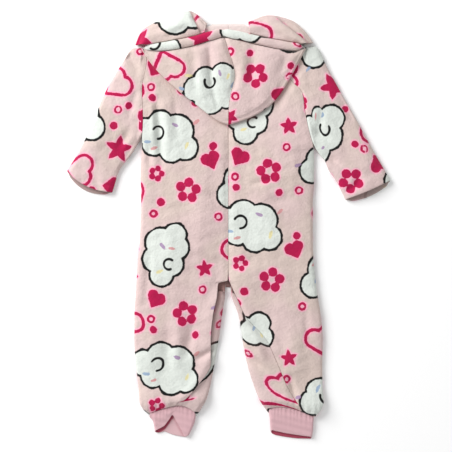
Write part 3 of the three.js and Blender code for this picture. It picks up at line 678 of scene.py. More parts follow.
def ringAround(top, low, topZ, lowZ, thick, foldPoints):
    # A flattened tube: top layer, half turn, under layer backwards, half turn. Each line comes with its
    # outermost points already drawn in by the fold's radius.
    radius = (topZ - lowZ) / 2
    angle = np.pi * np.arange(1, foldPoints) / foldPoints
    centre = (topZ + lowZ) / 2

    def fold(a, b, out, angles):
        base = mix(b[:, None], a[:, None], (1 + np.cos(angles))[:, None] / 2)
        base = base + out[:, None] * (radius * np.sin(angles))[None, :, None]
        z = np.broadcast_to(centre + radius * np.cos(angles), base.shape[:2])
        flatNormal = out[:, None] * np.sin(angles)[None, :, None]
        up = np.broadcast_to(np.cos(angles), base.shape[:2])
        return np.dstack([base, z]), np.dstack([flatNormal, up])

    def layer(line, z, up):
        shape = line.shape[:2]
        normal = np.zeros(shape + (3,))
        normal[..., 2] = up
        return np.dstack([line, np.full(shape, z)]), normal

    far, near = heading(top[:, -2], top[:, -1]), heading(top[:, 1], top[:, 0])
    parts = [
        layer(top, topZ, 1),
        fold(top[:, -1], low[:, -1], far, angle),
        layer(low[:, ::-1], lowZ, -1),
        fold(top[:, 0], low[:, 0], near, angle[::-1]),
    ]
    middle = np.concatenate([p[0] for p in parts], axis=1)
    normal = np.concatenate([p[1] for p in parts], axis=1)
    return middle, normal, top.shape[1]


def sleeve(name):
    side = sign[name]
    folds = sleeveRows[name]
    start, end = folds[0], folds[-1]
    length = float(np.hypot(*(mix(end[:2], end[2:], 0.5) - mix(start[:2], start[2:], 0.5))))
    down = spaced(length, sleeveStep) * length
    t = (down / length)[:, None]
    edge = alongTable(folds, (down / length) * (len(folds) - 1))[..., None]
    width = np.hypot(edge[2] - edge[0], edge[3] - edge[1])
    inset = ((backZ - frontZ) / 2 + fleeceThick / 2) / width
    s = mix(inset, 1 - inset, np.linspace(0, 1, round(float(width.max()) / sleeveStep) + 1))
    armhole = alongTable(bodyRows[name], s * underarm[name])
    armholeX = seamX + side * armhole[0] - mix(start[0], start[2], s)
    armholeY = armhole[1] - mix(start[1], start[3], s)
    hem = heading(end[:2], end[2:])

    def line(bowed, beyond=0):
        out = bowed * bow(s) * t + beyond * smooth(0, 0.12, s) * smooth(1, 0.88, s) * smooth(0.9, 1, t)
        x = mix(edge[0], edge[2], s) + armholeX * (1 - t) + side * (abs(hem[1]) * out + armholeGap)
        y = mix(edge[1], edge[3], s) + armholeY * (1 - t) - abs(hem[0]) * out
        return pair(x, y)

    top, low = line(hemBow[name]["top"]), line(hemBow[name]["low"], hemBow[name]["beyond"])
    middle, normal, topCount = ringAround(top, low, backZ, frontZ, fleeceThick, 7)
    x, y = middle[..., 0], middle[..., 1]
    upper = (1 + normal[..., 2]) / 2
    share = np.ones(x.shape) * 0.5
    share[:, :topCount] = s
    foldDistance = np.minimum(share, 1 - share) * width
    joined = smooth(0, 0.14, t)
    puff = relief["puff"] * domed(share * width) * mix(1, domed((1 - share) * width), joined)
    puff[:, topCount:] = 0
    away = (length - down)[:, None]
    hemLine = -1.3 * bell(away - 17, 3.5) + 0.7 * bell(away - 8, 7)
    dips = relief["seamDip"] * relief["armhole"][name] * bell(down[:, None], relief["seamWidth"])
    height = puff - dips + hemLine + creaseHeight(bodyCreases, x, y) + swell(x, y)
    height = height * clearOfHood(x, y) * np.minimum(1, foldDistance / 8)
    height[:, topCount:] = 0
    middle[..., 2] += height * upper
    half = np.minimum(rounding(down, fleeceThick, sewn), rounding(length - down, fleeceThick))[:, None] + 0 * x
    turn = np.arctan2(hem[1], hem[0])
    seamColumn = topCount + 3
    u, v = unrolled(middle, turn, 1, seamColumn)
    # Painted shade on the inner face just inside the hem, where the under layer shows in shade.
    mouth = 0.7 * smooth(16, 11, away) + 0 * x
    clothWall(f"fleece_sleeve_{name}", middle, normal, half, u, v, ring=True, shade=(0 * x, mouth))


for name in ("left", "right"):
    sleeve(name)
print("sleeves")


# ---- Ankle cuffs

cuffStep = 1.8
# How far in from the top lip the painted shade inside each cuff's mouth begins and becomes full.
mouthShade = {"left": (-11, -6), "right": (-11, -8)}
openSide = {"left": 0.2, "right": 1}  # share of that shade right of the left cuff's peak, where it lies open


def ankleLine(name, zones, x):
    # Lowest edge at x of the parts of the leg that are named.
    foot = np.array([len(bodyRows[name]) - 1.0])
    outerHalf, outerY, backHalf, backY, frontHalf, frontY, _, _ = (float(c[0]) for c in alongTable(bodyRows[name], foot))
    out = sign[name] * (x - seamX)
    spans = {
        "back": (backHalf, backY, outerHalf, outerY),
        "front": (frontHalf, frontY, outerHalf, outerY),
        "flap": (frontHalf, frontY, backHalf, backY),
    }
    lowest = np.full(np.shape(x), np.inf)
    for zone in zones:
        a, aY, b, bY = spans[zone]
        s = (out - a) / (b - a)
        y = mix(aY, bY, s) + footRise(name, zone, s)
        lowest = np.where((s >= -0.02) & (s <= 1.02), np.minimum(lowest, y), lowest)
    return lowest


def cuff(name):
    # A flattened tube: each line runs from the leg's edge straight to the cuff's own lip.
    rows, lips = cuffRows[name], cuffLips[name]
    length = 40.0
    down = spaced(length, cuffStep) * length
    t = (down / length)[:, None]
    leftX, rightX = alongTable(rows, t[:, 0] * (len(rows) - 1))[..., None]
    width = float(rows[0, 1] - rows[0, 0])
    inset = ((cuffTopZ - cuffLowZ) / 2 + jerseyThick / 2) / width
    s = np.linspace(inset, 1 - inset, round(width / cuffStep))[None, :]
    seamX0 = mix(rows[0, 0], rows[0, 1], s)
    _, topLip, lowLip = alongTable(lips, np.interp(s, lips[:, 0], np.arange(len(lips))))

    def line(zones, lipY):
        start = ankleLine(name, zones, seamX0) - cuffGap
        return pair(mix(leftX, rightX, s), mix(start, lipY, t))

    top, low = line(("back", "flap"), topLip), line(("front",), lowLip)
    middle, normal, topCount = ringAround(top, low, cuffTopZ, cuffLowZ, jerseyThick, 7)
    x, y = middle[..., 0], middle[..., 1]
    upper = (1 + normal[..., 2]) / 2
    pleats = 0.7 * np.sin(2 * np.pi * x / 7.5 + 1.2 * np.sin(x / 5)) * np.exp(-down[:, None] / 12)
    ripple = 0.35 * np.sin(2 * np.pi * (y + 0.25 * x) / 13)
    middle[..., 2] += (pleats + ripple) * upper + 1.6 * bell(down[:, None] - 14, 14) * upper
    edgeAway = edgeDistance(down, length)[:, None] + 0 * x
    u, v = unrolled(middle, 0, 1, topCount + 3)
    mesh = clothWall(f"jersey_cuff_{name}", middle, normal, rounding(edgeAway, jerseyThick), u, v, ring=True)
    place = np.empty(len(mesh.vertices) * 3, dtype=np.float32)
    mesh.vertices.foreach_get("co", place)
    place = place.reshape(-1, 3) * 1000
    across = np.clip((place[:, 0] - rows[-1, 0]) / (rows[-1, 1] - rows[-1, 0]), 0, 1)
    mouth = alongTable(lips, np.interp(across, lips[:, 0], np.arange(len(lips))))[1]
    # Painted shade: inner faces darken a few millimetres in from the top lip, less right of the left cuff's peak, where
    # it lies open.
    paintedMouthShade = smooth(*mouthShade[name], place[:, 1] - mouth)
    pieces[f"jersey_cuff_{name}"]["paintedMouthShade"] = paintedMouthShade * mix(1, openSide[name], smooth(-107.5, -104, place[:, 0]))


for name in ("left", "right"):
    cuff(name)
print("ankle cuffs")


# ---- Hood: its bag, folded flat on the back

hoodStep = 2.2
neckCurl = {"full": 26, "end": 36, "spread": 2}


def rollAt(x):
    near = np.interp(x, rollRows[:, 0], np.arange(len(rollRows)))
    _, y, half, height = alongTable(rollRows, near)
    return y, half, height


def hoodBag(name):
    side = sign[name]
    rows = hoodRows[name]
    last = len(rows) - 1
    seam = seamX + side * seamGap / 2
    place = np.interp(spaced(170.0, hoodStep) * 170, [0, 170], [0, last])
    curl = np.concatenate([[1, 0.9, 0.75, 0.55, 0.35, 0.15], np.zeros(len(place))])[:, None]
    place = np.concatenate([np.zeros(6), place])
    foldX, foldY, topY, underY = (c[:, None] for c in alongTable(rows, place))
    drift = alongTable(hoodSeam, np.interp(-topY[:, 0], -hoodSeam[:, 0], np.arange(len(hoodSeam))))[1] - seamX
    topX = seam + drift[:, None]
    topSeam, underSeam = pair(topX, topY), pair(seam, underY)
    fold = pair(foldX, foldY)
    fold[place == last, 0, 0] = seam
    out = heading(topSeam, fold)
    radius = (hoodTopZ - hoodUnderZ) / 2
    start = fold - out * (radius + fleeceThick / 2)
    near = nearTop(place / 2)[:, None]
    s = spaced(165.0, hoodStep)[None, :-3]
    s = s / s[0, -1]

    x = mix(topSeam[..., 0], start[..., 0], s)
    share = np.clip((x - topX) / (rows[0, 0] - topX), 0, 1)
    rollY, rollHalf, _ = rollAt(x)
    edge = rollY - rollHalf - rollGap
    y = mix(topSeam[..., 1], start[..., 1], s) + (edge - mix(rows[0, 2], rows[0, 1], share)) * near + curl * seamGap
    foldDistance = np.linalg.norm(start - topSeam, axis=-1) * (1 - s)
    seamDistance = np.abs(x - topX)
    rollDistance = edge - y
    height = 5.0 * domed(foldDistance) + creaseHeight(hoodCreases, x, y)
    seamDip = 2.8 * smooth(225, 262, y) + 0.4
    height = height - seamDip * bell(seamDistance, 5) - 3.0 * bell(rollDistance, 6) + swell(x + 300, y)
    height = height * np.minimum(1, foldDistance / 10)
    top = np.stack([x, y, hoodTopZ + height], axis=-1)
    topNormal = np.zeros(top.shape) + (0, 0, 1)

    angles = np.pi * np.arange(1, 8) / 8
    turnBase = start + out * (radius * np.sin(angles))[None, :, None]
    turnZ = np.broadcast_to((hoodTopZ + hoodUnderZ) / 2 + radius * np.cos(angles), turnBase.shape[:2])
    turnY = turnBase[..., 1] + curl * mix(seamGap, neckCurl["spread"], (1 - np.cos(angles)) / 2)
    turn = np.dstack([turnBase[..., 0], turnY, turnZ])
    turnNormal = np.dstack([out * np.sin(angles)[None, :, None], np.broadcast_to(np.cos(angles), turnBase.shape[:2])])

    s = s[:, ::-1]
    x = mix(underSeam[..., 0], start[..., 0], s)
    flatY = mix(underSeam[..., 1], start[..., 1], s) + hoodUnderBow * bow(s) * near
    atNeck = 1 - smooth(neckCurl["full"], neckCurl["end"], np.abs(x - seamX))
    angle = curl * atNeck * np.pi / 2
    y = flatY + neckCurlReach * np.sin(angle) + curl * neckCurl["spread"] * (1 - atNeck)
    z = hoodUnderZ - neckCurlReach * (1 - np.cos(angle))
    under = np.stack([x, y, z], axis=-1)
    underNormal = np.stack([0 * x, -np.sin(angle), -np.cos(angle)], axis=-1)

    middle = np.concatenate([top, turn, under], axis=1)
    normal = np.concatenate([topNormal, turnNormal, underNormal], axis=1)
    rowsDown = np.concatenate([[0, 0.45, 1.1, 2, 4, 6], 8 + np.arange(len(place) - 6) * hoodStep])
    topAcross = np.linalg.norm(start - topSeam, axis=-1) * s[:, ::-1]
    underAcross = np.linalg.norm(start - underSeam, axis=-1) * s
    across = np.concatenate([topAcross, np.full(turn.shape[:2], 99.0), underAcross], axis=1)
    endDistance = (rowsDown[-1] - rowsDown)[:, None]
    edgeAway = np.minimum(np.minimum(across, rowsDown[:, None]), endDistance)
    u, v = unrolled(middle, 0, side)
    clothWall(f"fleece_hood_{name}", middle, normal, rounding(edgeAway, fleeceThick, sewn), u, v)


for name in ("left", "right"):
    hoodBag(name)
print("hood")


# ---- Hood fronts, folded over the shoulders

# the line where each hood front overlaps itself: x0, y0, x1, y1, how far the outer layer sinks
overlaps = {"left": (-76, 410, -60, 376, 3.2), "right": (84, 400, 150, 344, 5.0)}


# How dark the painted shade is in the hollow along each hood front's overlap.
hollowShade = {"left": 0.5, "right": 0.3}


def beyondOverlap(name, x, y):
    # Signed distance to the overlap line, positive on the layer that lies below.
    x0, y0, x1, y1, _ = overlaps[name]
    return ((y1 - y0) * (x - x0) - (x1 - x0) * (y - y0)) / -np.hypot(x1 - x0, y1 - y0)


def hoodFront(name):
    side = sign[name]
    rows = lobeRows[name]
    shoulder = bodyRows[name][0]
    length = 150.0
    down = spaced(length, hoodStep) * length
    rollX, foldX, foldY, foldZ, s = (c[:, None] for c in alongTable(rows, down / length * (len(rows) - 1)))
    rollY, rollHalf, _ = rollAt(rollX)
    start0 = pair(rollX, rollY + rollHalf + rollGap / 2)
    fold = pair(foldX, foldY)
    neck = pair(
        seamX + side * mix(zipHalfWidth + seamGap, shoulder[0], s),
        mix(shoulder[5], shoulder[1], s) + neckRise["front"] * bow(s) + rollGap / 2,
    )
    out = heading(start0, fold)
    radius = (foldZ - frontZ) / 2
    start = fold - out * (radius + fleeceThick / 2)[..., None]
    across = np.linalg.norm(start - start0, axis=-1)
    share = spaced(50.0, hoodStep)[None, :]
    share = share / share[0, -1]
    topBase = start0 + (start - start0) * share[..., None]
    slump = smooth(0.5, 1, share)
    x, y = topBase[..., 0], topBase[..., 1]
    fold = creaseHeight(lobeCreases, x, y) + swell(x - 200, y)
    fold = fold - overlaps[name][4] * smooth(-1, 1.6, beyondOverlap(name, x, y))
    height = 5.5 * np.sqrt(bow(share)) + fold * np.minimum(1, bow(share) * 1.5)
    top = np.dstack([topBase, mix(hoodFrontZ, foldZ, slump) + height])
    topNormal = np.zeros(top.shape) + (0, 0, 1)
    angles = np.pi * np.arange(1, 10) / 10
    turnBase = start + out * (radius * np.sin(angles))[..., None]
    turn = np.dstack([turnBase, (foldZ + frontZ) / 2 + radius * np.cos(angles)])
    turnNormal = np.dstack([out * np.sin(angles)[None, :, None], np.broadcast_to(np.cos(angles), turnBase.shape[:2])])
    back = spaced(24.0, hoodStep * 2)[None, :]
    back = back / back[0, -1]
    underBase = start + (neck - start) * back[..., None]
    under = np.dstack([underBase, np.full(underBase.shape[:2], frontZ)])
    underNormal = np.zeros(under.shape) + (0, 0, -1)
    middle = np.concatenate([top, turn, under], axis=1)
    normal = np.concatenate([topNormal, turnNormal, underNormal], axis=1)
    acrossAway = np.concatenate([
        share * across, np.full(turn.shape[:2], 99.0), (1 - back) * np.linalg.norm(neck - start, axis=-1)
    ], axis=1)
    edgeAway = np.minimum(acrossAway, edgeDistance(down, length)[:, None])
    u, v = unrolled(middle, np.pi / 2, 1)
    u = u + 150 * (beyondOverlap(name, middle[..., 0], middle[..., 1]) > 0.3)
    # Painted shade in the hollow where the outer layer sinks along the overlap.
    hollow = hollowShade[name] * bell(beyondOverlap(name, middle[..., 0], middle[..., 1]) - 1.5, 2.6)
    clothWall(f"fleece_hood_front_{name}", middle, normal, rounding(edgeAway, fleeceThick, sewn), u, v,
              shade=(hollow, 0 * hollow))


for name in ("left", "right"):
    hoodFront(name)
print("hood fronts")


# ---- The rolled hem round the hood's opening

roll = {"step": 1.8, "around": 28, "pinchX": -10, "pinch": 0.24, "taller": 1.35, "lump": 0.06}


def hoodHem():
    # Ovals carried along the roll's line, closing to a point at both ends and drawn in at the centre seam.
    x = np.linspace(rollRows[0, 0], rollRows[-1, 0], round(300 / roll["step"]))
    y, half, height = rollAt(x)
    away = edgeDistance(x - x[0], x[-1] - x[0])
    taper = np.sqrt(1 - (1 - np.clip(away / 9, 0, 1)) ** 2)
    pinch = 1 - roll["pinch"] * bell(x - roll["pinchX"], 5)
    lumps = 1 + roll["lump"] * (np.sin(x / 9) + np.sin(x / 5.3 + 1))
    halfWidth = (0.98 * half * taper * pinch)[:, None]
    halfHeight = (roll["taller"] * height / 2 * taper * pinch * lumps)[:, None]
    angle = 2 * np.pi * np.arange(roll["around"]) / roll["around"]
    outX = np.broadcast_to(x[:, None], (len(x), roll["around"]))
    outY = y[:, None] + halfWidth * np.cos(angle)
    outZ = hemRollZ + (roll["taller"] * height / 2)[:, None] + halfHeight * np.sin(angle)
    arc = np.cumsum(np.hypot(np.diff(outY, axis=1, prepend=outY[:, -1:]), np.diff(outZ, axis=1, prepend=outZ[:, -1:])), axis=1)
    index = np.arange(outX.size).reshape(outX.shape)
    index[0] = index[0, 0]
    index[-1] = index[-1, 0]
    points, quads, used = compacted(np.stack([outX, outY, outZ], axis=-1).reshape(-1, 3), ringQuads(index))
    mesh = asMesh("fleece_hood_hem", points, quads)
    addField(mesh, "inside", np.zeros(len(points)))
    u, v = outX.ravel()[used], (y[:, None] - arc).ravel()[used]
    pieces["fleece_hood_hem"] = {"mesh": mesh, "u": u, "v": v}


hoodHem()
print("rolled hem")


# ---- Zip and slider, under the garment

def boxPart(halfSize, centre, taper=1.0, rings=6):
    # A block with softened edges: a superellipse section carried from one end to the other.
    angle = 2 * np.pi * np.arange(24) / 24
    reach = (np.abs(np.cos(angle)) ** 8 + np.abs(np.sin(angle)) ** 8) ** (-1 / 8)
    t = np.linspace(-1, 1, rings)
    section = np.concatenate([[0], np.where(np.abs(t) > 0.98, 0.93, 1.0), [0]])[:, None]
    t = np.concatenate([[-1], t, [1]])[:, None]
    x = centre[0] + halfSize[0] * mix(1, taper, (t + 1) / 2) * section * reach * np.cos(angle)
    y = centre[1] + halfSize[1] * t + 0 * x
    z = centre[2] + halfSize[2] * section * reach * np.sin(angle)
    index = np.arange(x.size).reshape(x.shape)
    index[0] = index[0, 0]
    index[-1] = index[-1, 0]
    return compacted(np.stack([x, y, z], axis=-1).reshape(-1, 3), ringQuads(index))[:2]


zipCentre = (zipTop + zipFoot) / 2
tapePoints, tapeQuads = boxPart((zipHalfWidth, (zipTop - zipFoot) / 2, 0.5), (seamX, zipCentre, frontZ), rings=60)
toothY = np.arange(zipFoot + 4, zipTop - 3, 2.0)
toothPoints, toothQuads = boxPart((2.1, 0.75, 0.75), (0, 0, 0), rings=2)
shift = np.stack([seamX + 0.35 * (-1) ** np.arange(len(toothY)), toothY, np.full(len(toothY), frontZ)], axis=-1)
allTeeth = (toothPoints[None] + shift[:, None]).reshape(-1, 3)
teethQuads = (toothQuads[None] + (len(toothPoints) * np.arange(len(toothY)))[:, None, None]).reshape(-1, 4)
zipPoints = np.concatenate([tapePoints, allTeeth])
zipQuads = np.concatenate([tapeQuads, teethQuads + len(tapePoints)])
pieces["zip_tape_and_coil"] = {"mesh": asMesh("zip_tape_and_coil", zipPoints, zipQuads)}
addField(
    pieces["zip_tape_and_coil"]["mesh"], "coil",
    np.concatenate([np.zeros(len(tapePoints)), np.ones(len(allTeeth))]),
)
# Painted shade on the zip's foot, where it shows in the shaded crotch.
addField(pieces["zip_tape_and_coil"]["mesh"], "shade", smooth(zipFoot + 24, zipFoot + 16, zipPoints[:, 1]))
sliderPoints, sliderQuads = boxPart((3.1, 4.5, 1.6), (seamX, zipTop + seamGap + 4.5, 1.6), taper=1.3, rings=10)
pieces["zip_slider_block"] = {"mesh": asMesh("zip_slider_block", sliderPoints, sliderQuads)}
print("zip")


# ---- The print: clouds and sprinkles, hearts, stars and flowers, in one repeat of the cloth

printRepeat = {"width": 330, "height": 440}

# columns: kind, u, v, turn in degrees, size
printMotifs = [
    ("cloud", 78, 76, 18, 1.12),
    ("cloud", 246, 168, -24, 1.15),
    ("cloud", 80, 290, 205, 1.12),
    ("cloud", 250, 384, 68, 1.05),
    ("curl", 96, 70, 20, 11), ("curl", 232, 176, -60, 12), ("curl", 66, 284, 190, 11), ("curl", 256, 366, 80, 10),
    ("heartLine", 182, 52, 24, 27),
    ("flower", 292, 66, 10, 25),
    ("star", 151, 150, 8, 27),
    ("heart", 62, 180, -22, 25),
    ("heartLine", 174, 254, -34, 27),
    ("flower", 287, 272, 30, 25),
    ("star", 172, 342, -16, 26),
    ("heartLine", 58, 388, 14, 27),
    ("heart", 148, 418, 160, 21),
    ("heart", 6, 122, 20, 17), ("star", 114, 224, 12, 16), ("heart", 230, 298, -30, 17), ("star", 324, 358, 6, 17),
    ("flower", 232, 98, 0, 16),
    ("ring", 226, 22, 0, 8), ("dot", 240, 44, 0, 8), ("ring", 20, 16, 0, 8),
    ("dot", 108, 168, 0, 7.5), ("ring", 108, 190, 0, 8), ("dot", 176, 192, 0, 7),
    ("ring", 222, 262, 0, 8), ("dot", 224, 242, 0, 7), ("ring", 14, 236, 0, 8),
    ("dot", 128, 352, 0, 7.5), ("ring", 320, 318, 0, 8), ("dot", 306, 232, 0, 7),
    ("ring", 104, 372, 0, 8), ("dot", 106, 394, 0, 7), ("ring", 190, 396, 0, 8), ("dot", 10, 150, 0, 7.5),
]
# columns: hue, u, v, turn in degrees
printSprinkles = [
    (0, 48, 66, 60), (1, 62, 54, 82), (2, 78, 50, 110), (3, 226, 146, 20), (0, 212, 158, 0), (2, 268, 190, -24),
    (1, 96, 304, 150), (3, 82, 314, 96), (0, 52, 300, 60), (2, 244, 400, 128), (3, 262, 396, 165), (1, 238, 352, 20),
    (1, 140, 66, 15), (0, 148, 92, -8), (3, 308, 196, 40), (2, 12, 284, 20), (3, 44, 96, 30), (1, 290, 152, 70),
]
cloudBumps = [(-36, -6, 22), (-14, 14, 25), (16, 17, 28), (40, -2, 21), (20, -14, 22), (-12, -16, 22)]
cloudLine = 2.35
dashSize = (7.2, 3.0)


def turned(u, v, degrees):
    c, s = np.cos(np.radians(degrees)), np.sin(np.radians(degrees))
    return c * u + s * v, c * v - s * u


def cloudShape(u, v, size):
    # Distance to a union of circles.
    return np.min([np.hypot(u - cu * size, v - cv * size) - r * size for cu, cv, r in cloudBumps], axis=0)


def heartShape(u, v, size):
    # Distance to a heart: a quarter-square's two sides below the diagonal, a half circle on it above.
    scale = 1.8 * size
    x, y = np.abs(u) / scale, v / scale + 0.55
    lobe = np.hypot(x - 0.25, y - 0.75) - np.sqrt(2) / 4
    along = 0.5 * np.maximum(x + y, 0)
    sides = np.minimum(np.hypot(x, y - 1), np.hypot(x - along, y - along)) * np.sign(x - y)
    return np.where(x + y > 1, lobe, sides) * scale


def curlShape(u, v, size):
    # Distance to the larger part of a circle, a swirl drawn inside a cloud.
    end = 2.1
    ring = np.abs(np.hypot(u, v) - size)
    tip = np.hypot(np.abs(u) - size * np.sin(end), v - size * np.cos(end))
    return np.where(np.abs(np.arctan2(u, v)) < end, ring, tip)


def starShape(u, v, size):
    # Distance to five points, drawn as a circle whose radius rises and falls round it.
    angle = np.arctan2(u, v)
    wave = np.abs(((angle * 5 / (2 * np.pi)) % 1) - 0.5) * 2
    edge = size * (0.48 + 0.52 * wave ** 1.35)
    return (np.hypot(u, v) - edge) * 0.72


def flowerShape(u, v, size):
    # Distance to five round petals about a centre that stays open.
    angle = np.arctan2(v, u)
    slot = 2 * np.pi / 5
    folded = (angle + slot / 2) % slot - slot / 2
    radius = np.hypot(u, v)
    petal = np.hypot(radius * np.cos(folded) - 0.62 * size, radius * np.sin(folded)) - 0.36 * size
    return np.maximum(petal, 0.22 * size - radius)


def magentaShape(kind, u, v, size):
    if kind == "heart":
        return heartShape(u, v, size)
    if kind == "heartLine":
        return np.abs(heartShape(u, v, size)) - 3.0
    if kind == "star":
        return starShape(u, v, size)
    if kind == "flower":
        return flowerShape(u, v, size)
    if kind == "ring":
        return np.abs(np.hypot(u, v) - size + 2.1) - 2.1
    return np.hypot(u, v) - size


def printOn(u, v, cut):
    # Distances in millimetres to the nearest cloud, curl, magenta shape and sprinkle, and the sprinkle's hue.
    offsetU, offsetV, degrees = cut
    u, v = turned(u, v, degrees)
    u, v = u + offsetU, v + offsetV
    width, height = printRepeat["width"], printRepeat["height"]

    def about(u0, v0, degrees):
        return turned((u - u0 + width / 2) % width - width / 2, (v - v0 + height / 2) % height - height / 2, degrees)

    cloud, curl, magenta, sprinkle = (np.full(u.shape, 99.0) for k in range(4))
    hue = np.zeros(u.shape)
    for kind, u0, v0, degrees, size in printMotifs:
        a, b = about(u0, v0, degrees)
        if kind == "cloud":
            cloud = np.minimum(cloud, cloudShape(a, b, size))
        elif kind == "curl":
            curl = np.minimum(curl, curlShape(a, b, size))
        else:
            magenta = np.minimum(magenta, magentaShape(kind, a, b, size))
    for colour, u0, v0, degrees in printSprinkles:
        a, b = about(u0, v0, degrees)
        dash = (np.hypot(a / dashSize[0], b / dashSize[1]) - 1) * dashSize[1]
        hue = np.where(dash < sprinkle, colour, hue)
        sprinkle = np.minimum(sprinkle, dash)
    return cloud, curl, magenta, sprinkle, hue


# columns: offset u, offset v, turn in degrees
cuts = {
    "fleece_back_left": (40, 0, 0),
    "fleece_back_right": (210, 170, 0),
    "fleece_front_left": (120, 120, 0),
    "fleece_front_right": (20, 260, 0),
    "fleece_sleeve_left": (60, 30, -40),
    "fleece_sleeve_right": (150, 120, 35),
    "fleece_hood_left": (10, 330, 170),
    "fleece_hood_right": (290, 120, 170),
    "fleece_hood_front_left": (250, 30, 80),
    "fleece_hood_front_right": (170, 300, 100),
    "fleece_hood_hem": (60, 230, 170),
}
for name, cut in cuts.items():
    piece = pieces[name]
    for field, values in zip(("cloud", "curl", "magenta", "sprinkle", "hue"), printOn(piece["u"], piece["v"], cut)):
        addField(piece["mesh"], field, values)
print("print")


# ---- Materials

def newMaterial(name):
    material = bpy.data.materials.new(name)
    material.use_nodes = True
    nodes = material.node_tree.nodes
    return material, nodes, material.node_tree.links, nodes["Principled BSDF"]


def node(nodes, kind, **settings):
    made = nodes.new(kind)
    for key, value in settings.items():
        setattr(made, key, value)
    return made


def math(nodes, links, operation, a, b=None):
    made = node(nodes, "ShaderNodeMath", operation=operation)
    for slot, value in zip(made.inputs, (a, b)):
        if value is None:
            continue
        if isinstance(value, (int, float)):
            slot.default_value = value
        else:
            links.new(value, slot)
    return made.outputs[0]


def ramp(nodes, links, value, low, high, fromValue, toValue):
    made = node(nodes, "ShaderNodeMapRange", interpolation_type="SMOOTHSTEP")
    links.new(value, made.inputs["Value"])
    made.inputs["From Min"].default_value = low
    made.inputs["From Max"].default_value = high
    made.inputs["To Min"].default_value = fromValue
    made.inputs["To Max"].default_value = toValue
    return made.outputs["Result"]


def blendColour(nodes, links, mask, a, b):
    made = node(nodes, "ShaderNodeMix", data_type="RGBA")
    links.new(mask, made.inputs[0]) if not isinstance(mask, float) else setattr(made.inputs[0], "default_value", mask)
    for slot, value in ((made.inputs[6], a), (made.inputs[7], b)):
        if isinstance(value, tuple):
            slot.default_value = value + (1,)
        else:
            links.new(value, slot)
    return made.outputs[2]


def noise(nodes, links, coordinates, scale, detail, roughness=0.5):
    made = node(nodes, "ShaderNodeTexNoise")
    made.inputs["Scale"].default_value = scale
    made.inputs["Detail"].default_value = detail
    made.inputs["Roughness"].default_value = roughness
    links.new(coordinates, made.inputs["Vector"])
    return made.outputs["Fac"]


def fibreGroup():
    # Short fibres seen from above: fine and coarse noise over the object's own coordinates.
    group = bpy.data.node_groups.new("fibres", "ShaderNodeTree")
    for name, low in (("Fine scale", 900), ("Clump scale", 170)):
        socket = group.interface.new_socket(name, in_out="INPUT", socket_type="NodeSocketFloat")
        socket.default_value = low
    for name in ("Height", "Tone", "Wobble"):
        group.interface.new_socket(name, in_out="OUTPUT", socket_type="NodeSocketFloat")
    nodes, links = group.nodes, group.links
    entry, leave = nodes.new("NodeGroupInput"), nodes.new("NodeGroupOutput")
    place = nodes.new("ShaderNodeTexCoord").outputs["Object"]
    fine = node(nodes, "ShaderNodeTexNoise")
    clump = node(nodes, "ShaderNodeTexNoise")
    for made, socket, detail in ((fine, "Fine scale", 3), (clump, "Clump scale", 3)):
        links.new(place, made.inputs["Vector"])
        links.new(entry.outputs[socket], made.inputs["Scale"])
        made.inputs["Detail"].default_value = detail
    height = math(nodes, links, "ADD", math(nodes, links, "MULTIPLY", fine.outputs["Fac"], 0.45), clump.outputs["Fac"])
    links.new(height, leave.inputs["Height"])
    links.new(math(nodes, links, "ADD", math(nodes, links, "MULTIPLY", height, 0.5), -0.36), leave.inputs["Tone"])
    links.new(math(nodes, links, "SUBTRACT", clump.outputs["Fac"], 0.5), leave.inputs["Wobble"])
    return group


fibres = fibreGroup()

fleeceLook = {
    "ground": (0.655, 0.505, 0.49),
    "groundWarm": (0.625, 0.51, 0.46),
    "white": (0.665, 0.70, 0.655),
    "line": (0.006, 0.007, 0.007),
    "magenta": (0.44, 0.008, 0.068),
    "halo": (0.88, 0.40, 0.53),
    "hues": [(0.27, 0.37, 0.52), (0.74, 0.66, 0.34), (0.35, 0.23, 0.39), (0.62, 0.27, 0.27)],
    "wrongSide": (0.84, 0.76, 0.73),
    "wrongShare": 0.5,
    # painted shade: the colour that the cloth is darkened towards in folds, hollows and under overhangs
    "shade": (0.27, 0.15, 0.14),
    "wander": 3.0,        # how far a printed edge strays, in millimetres
    "hairs": 2.4,         # how far single tufts cross it
    "toneDepth": 0.34,
    "bump": 0.7,
    "bumpDistance": 0.0016,
}


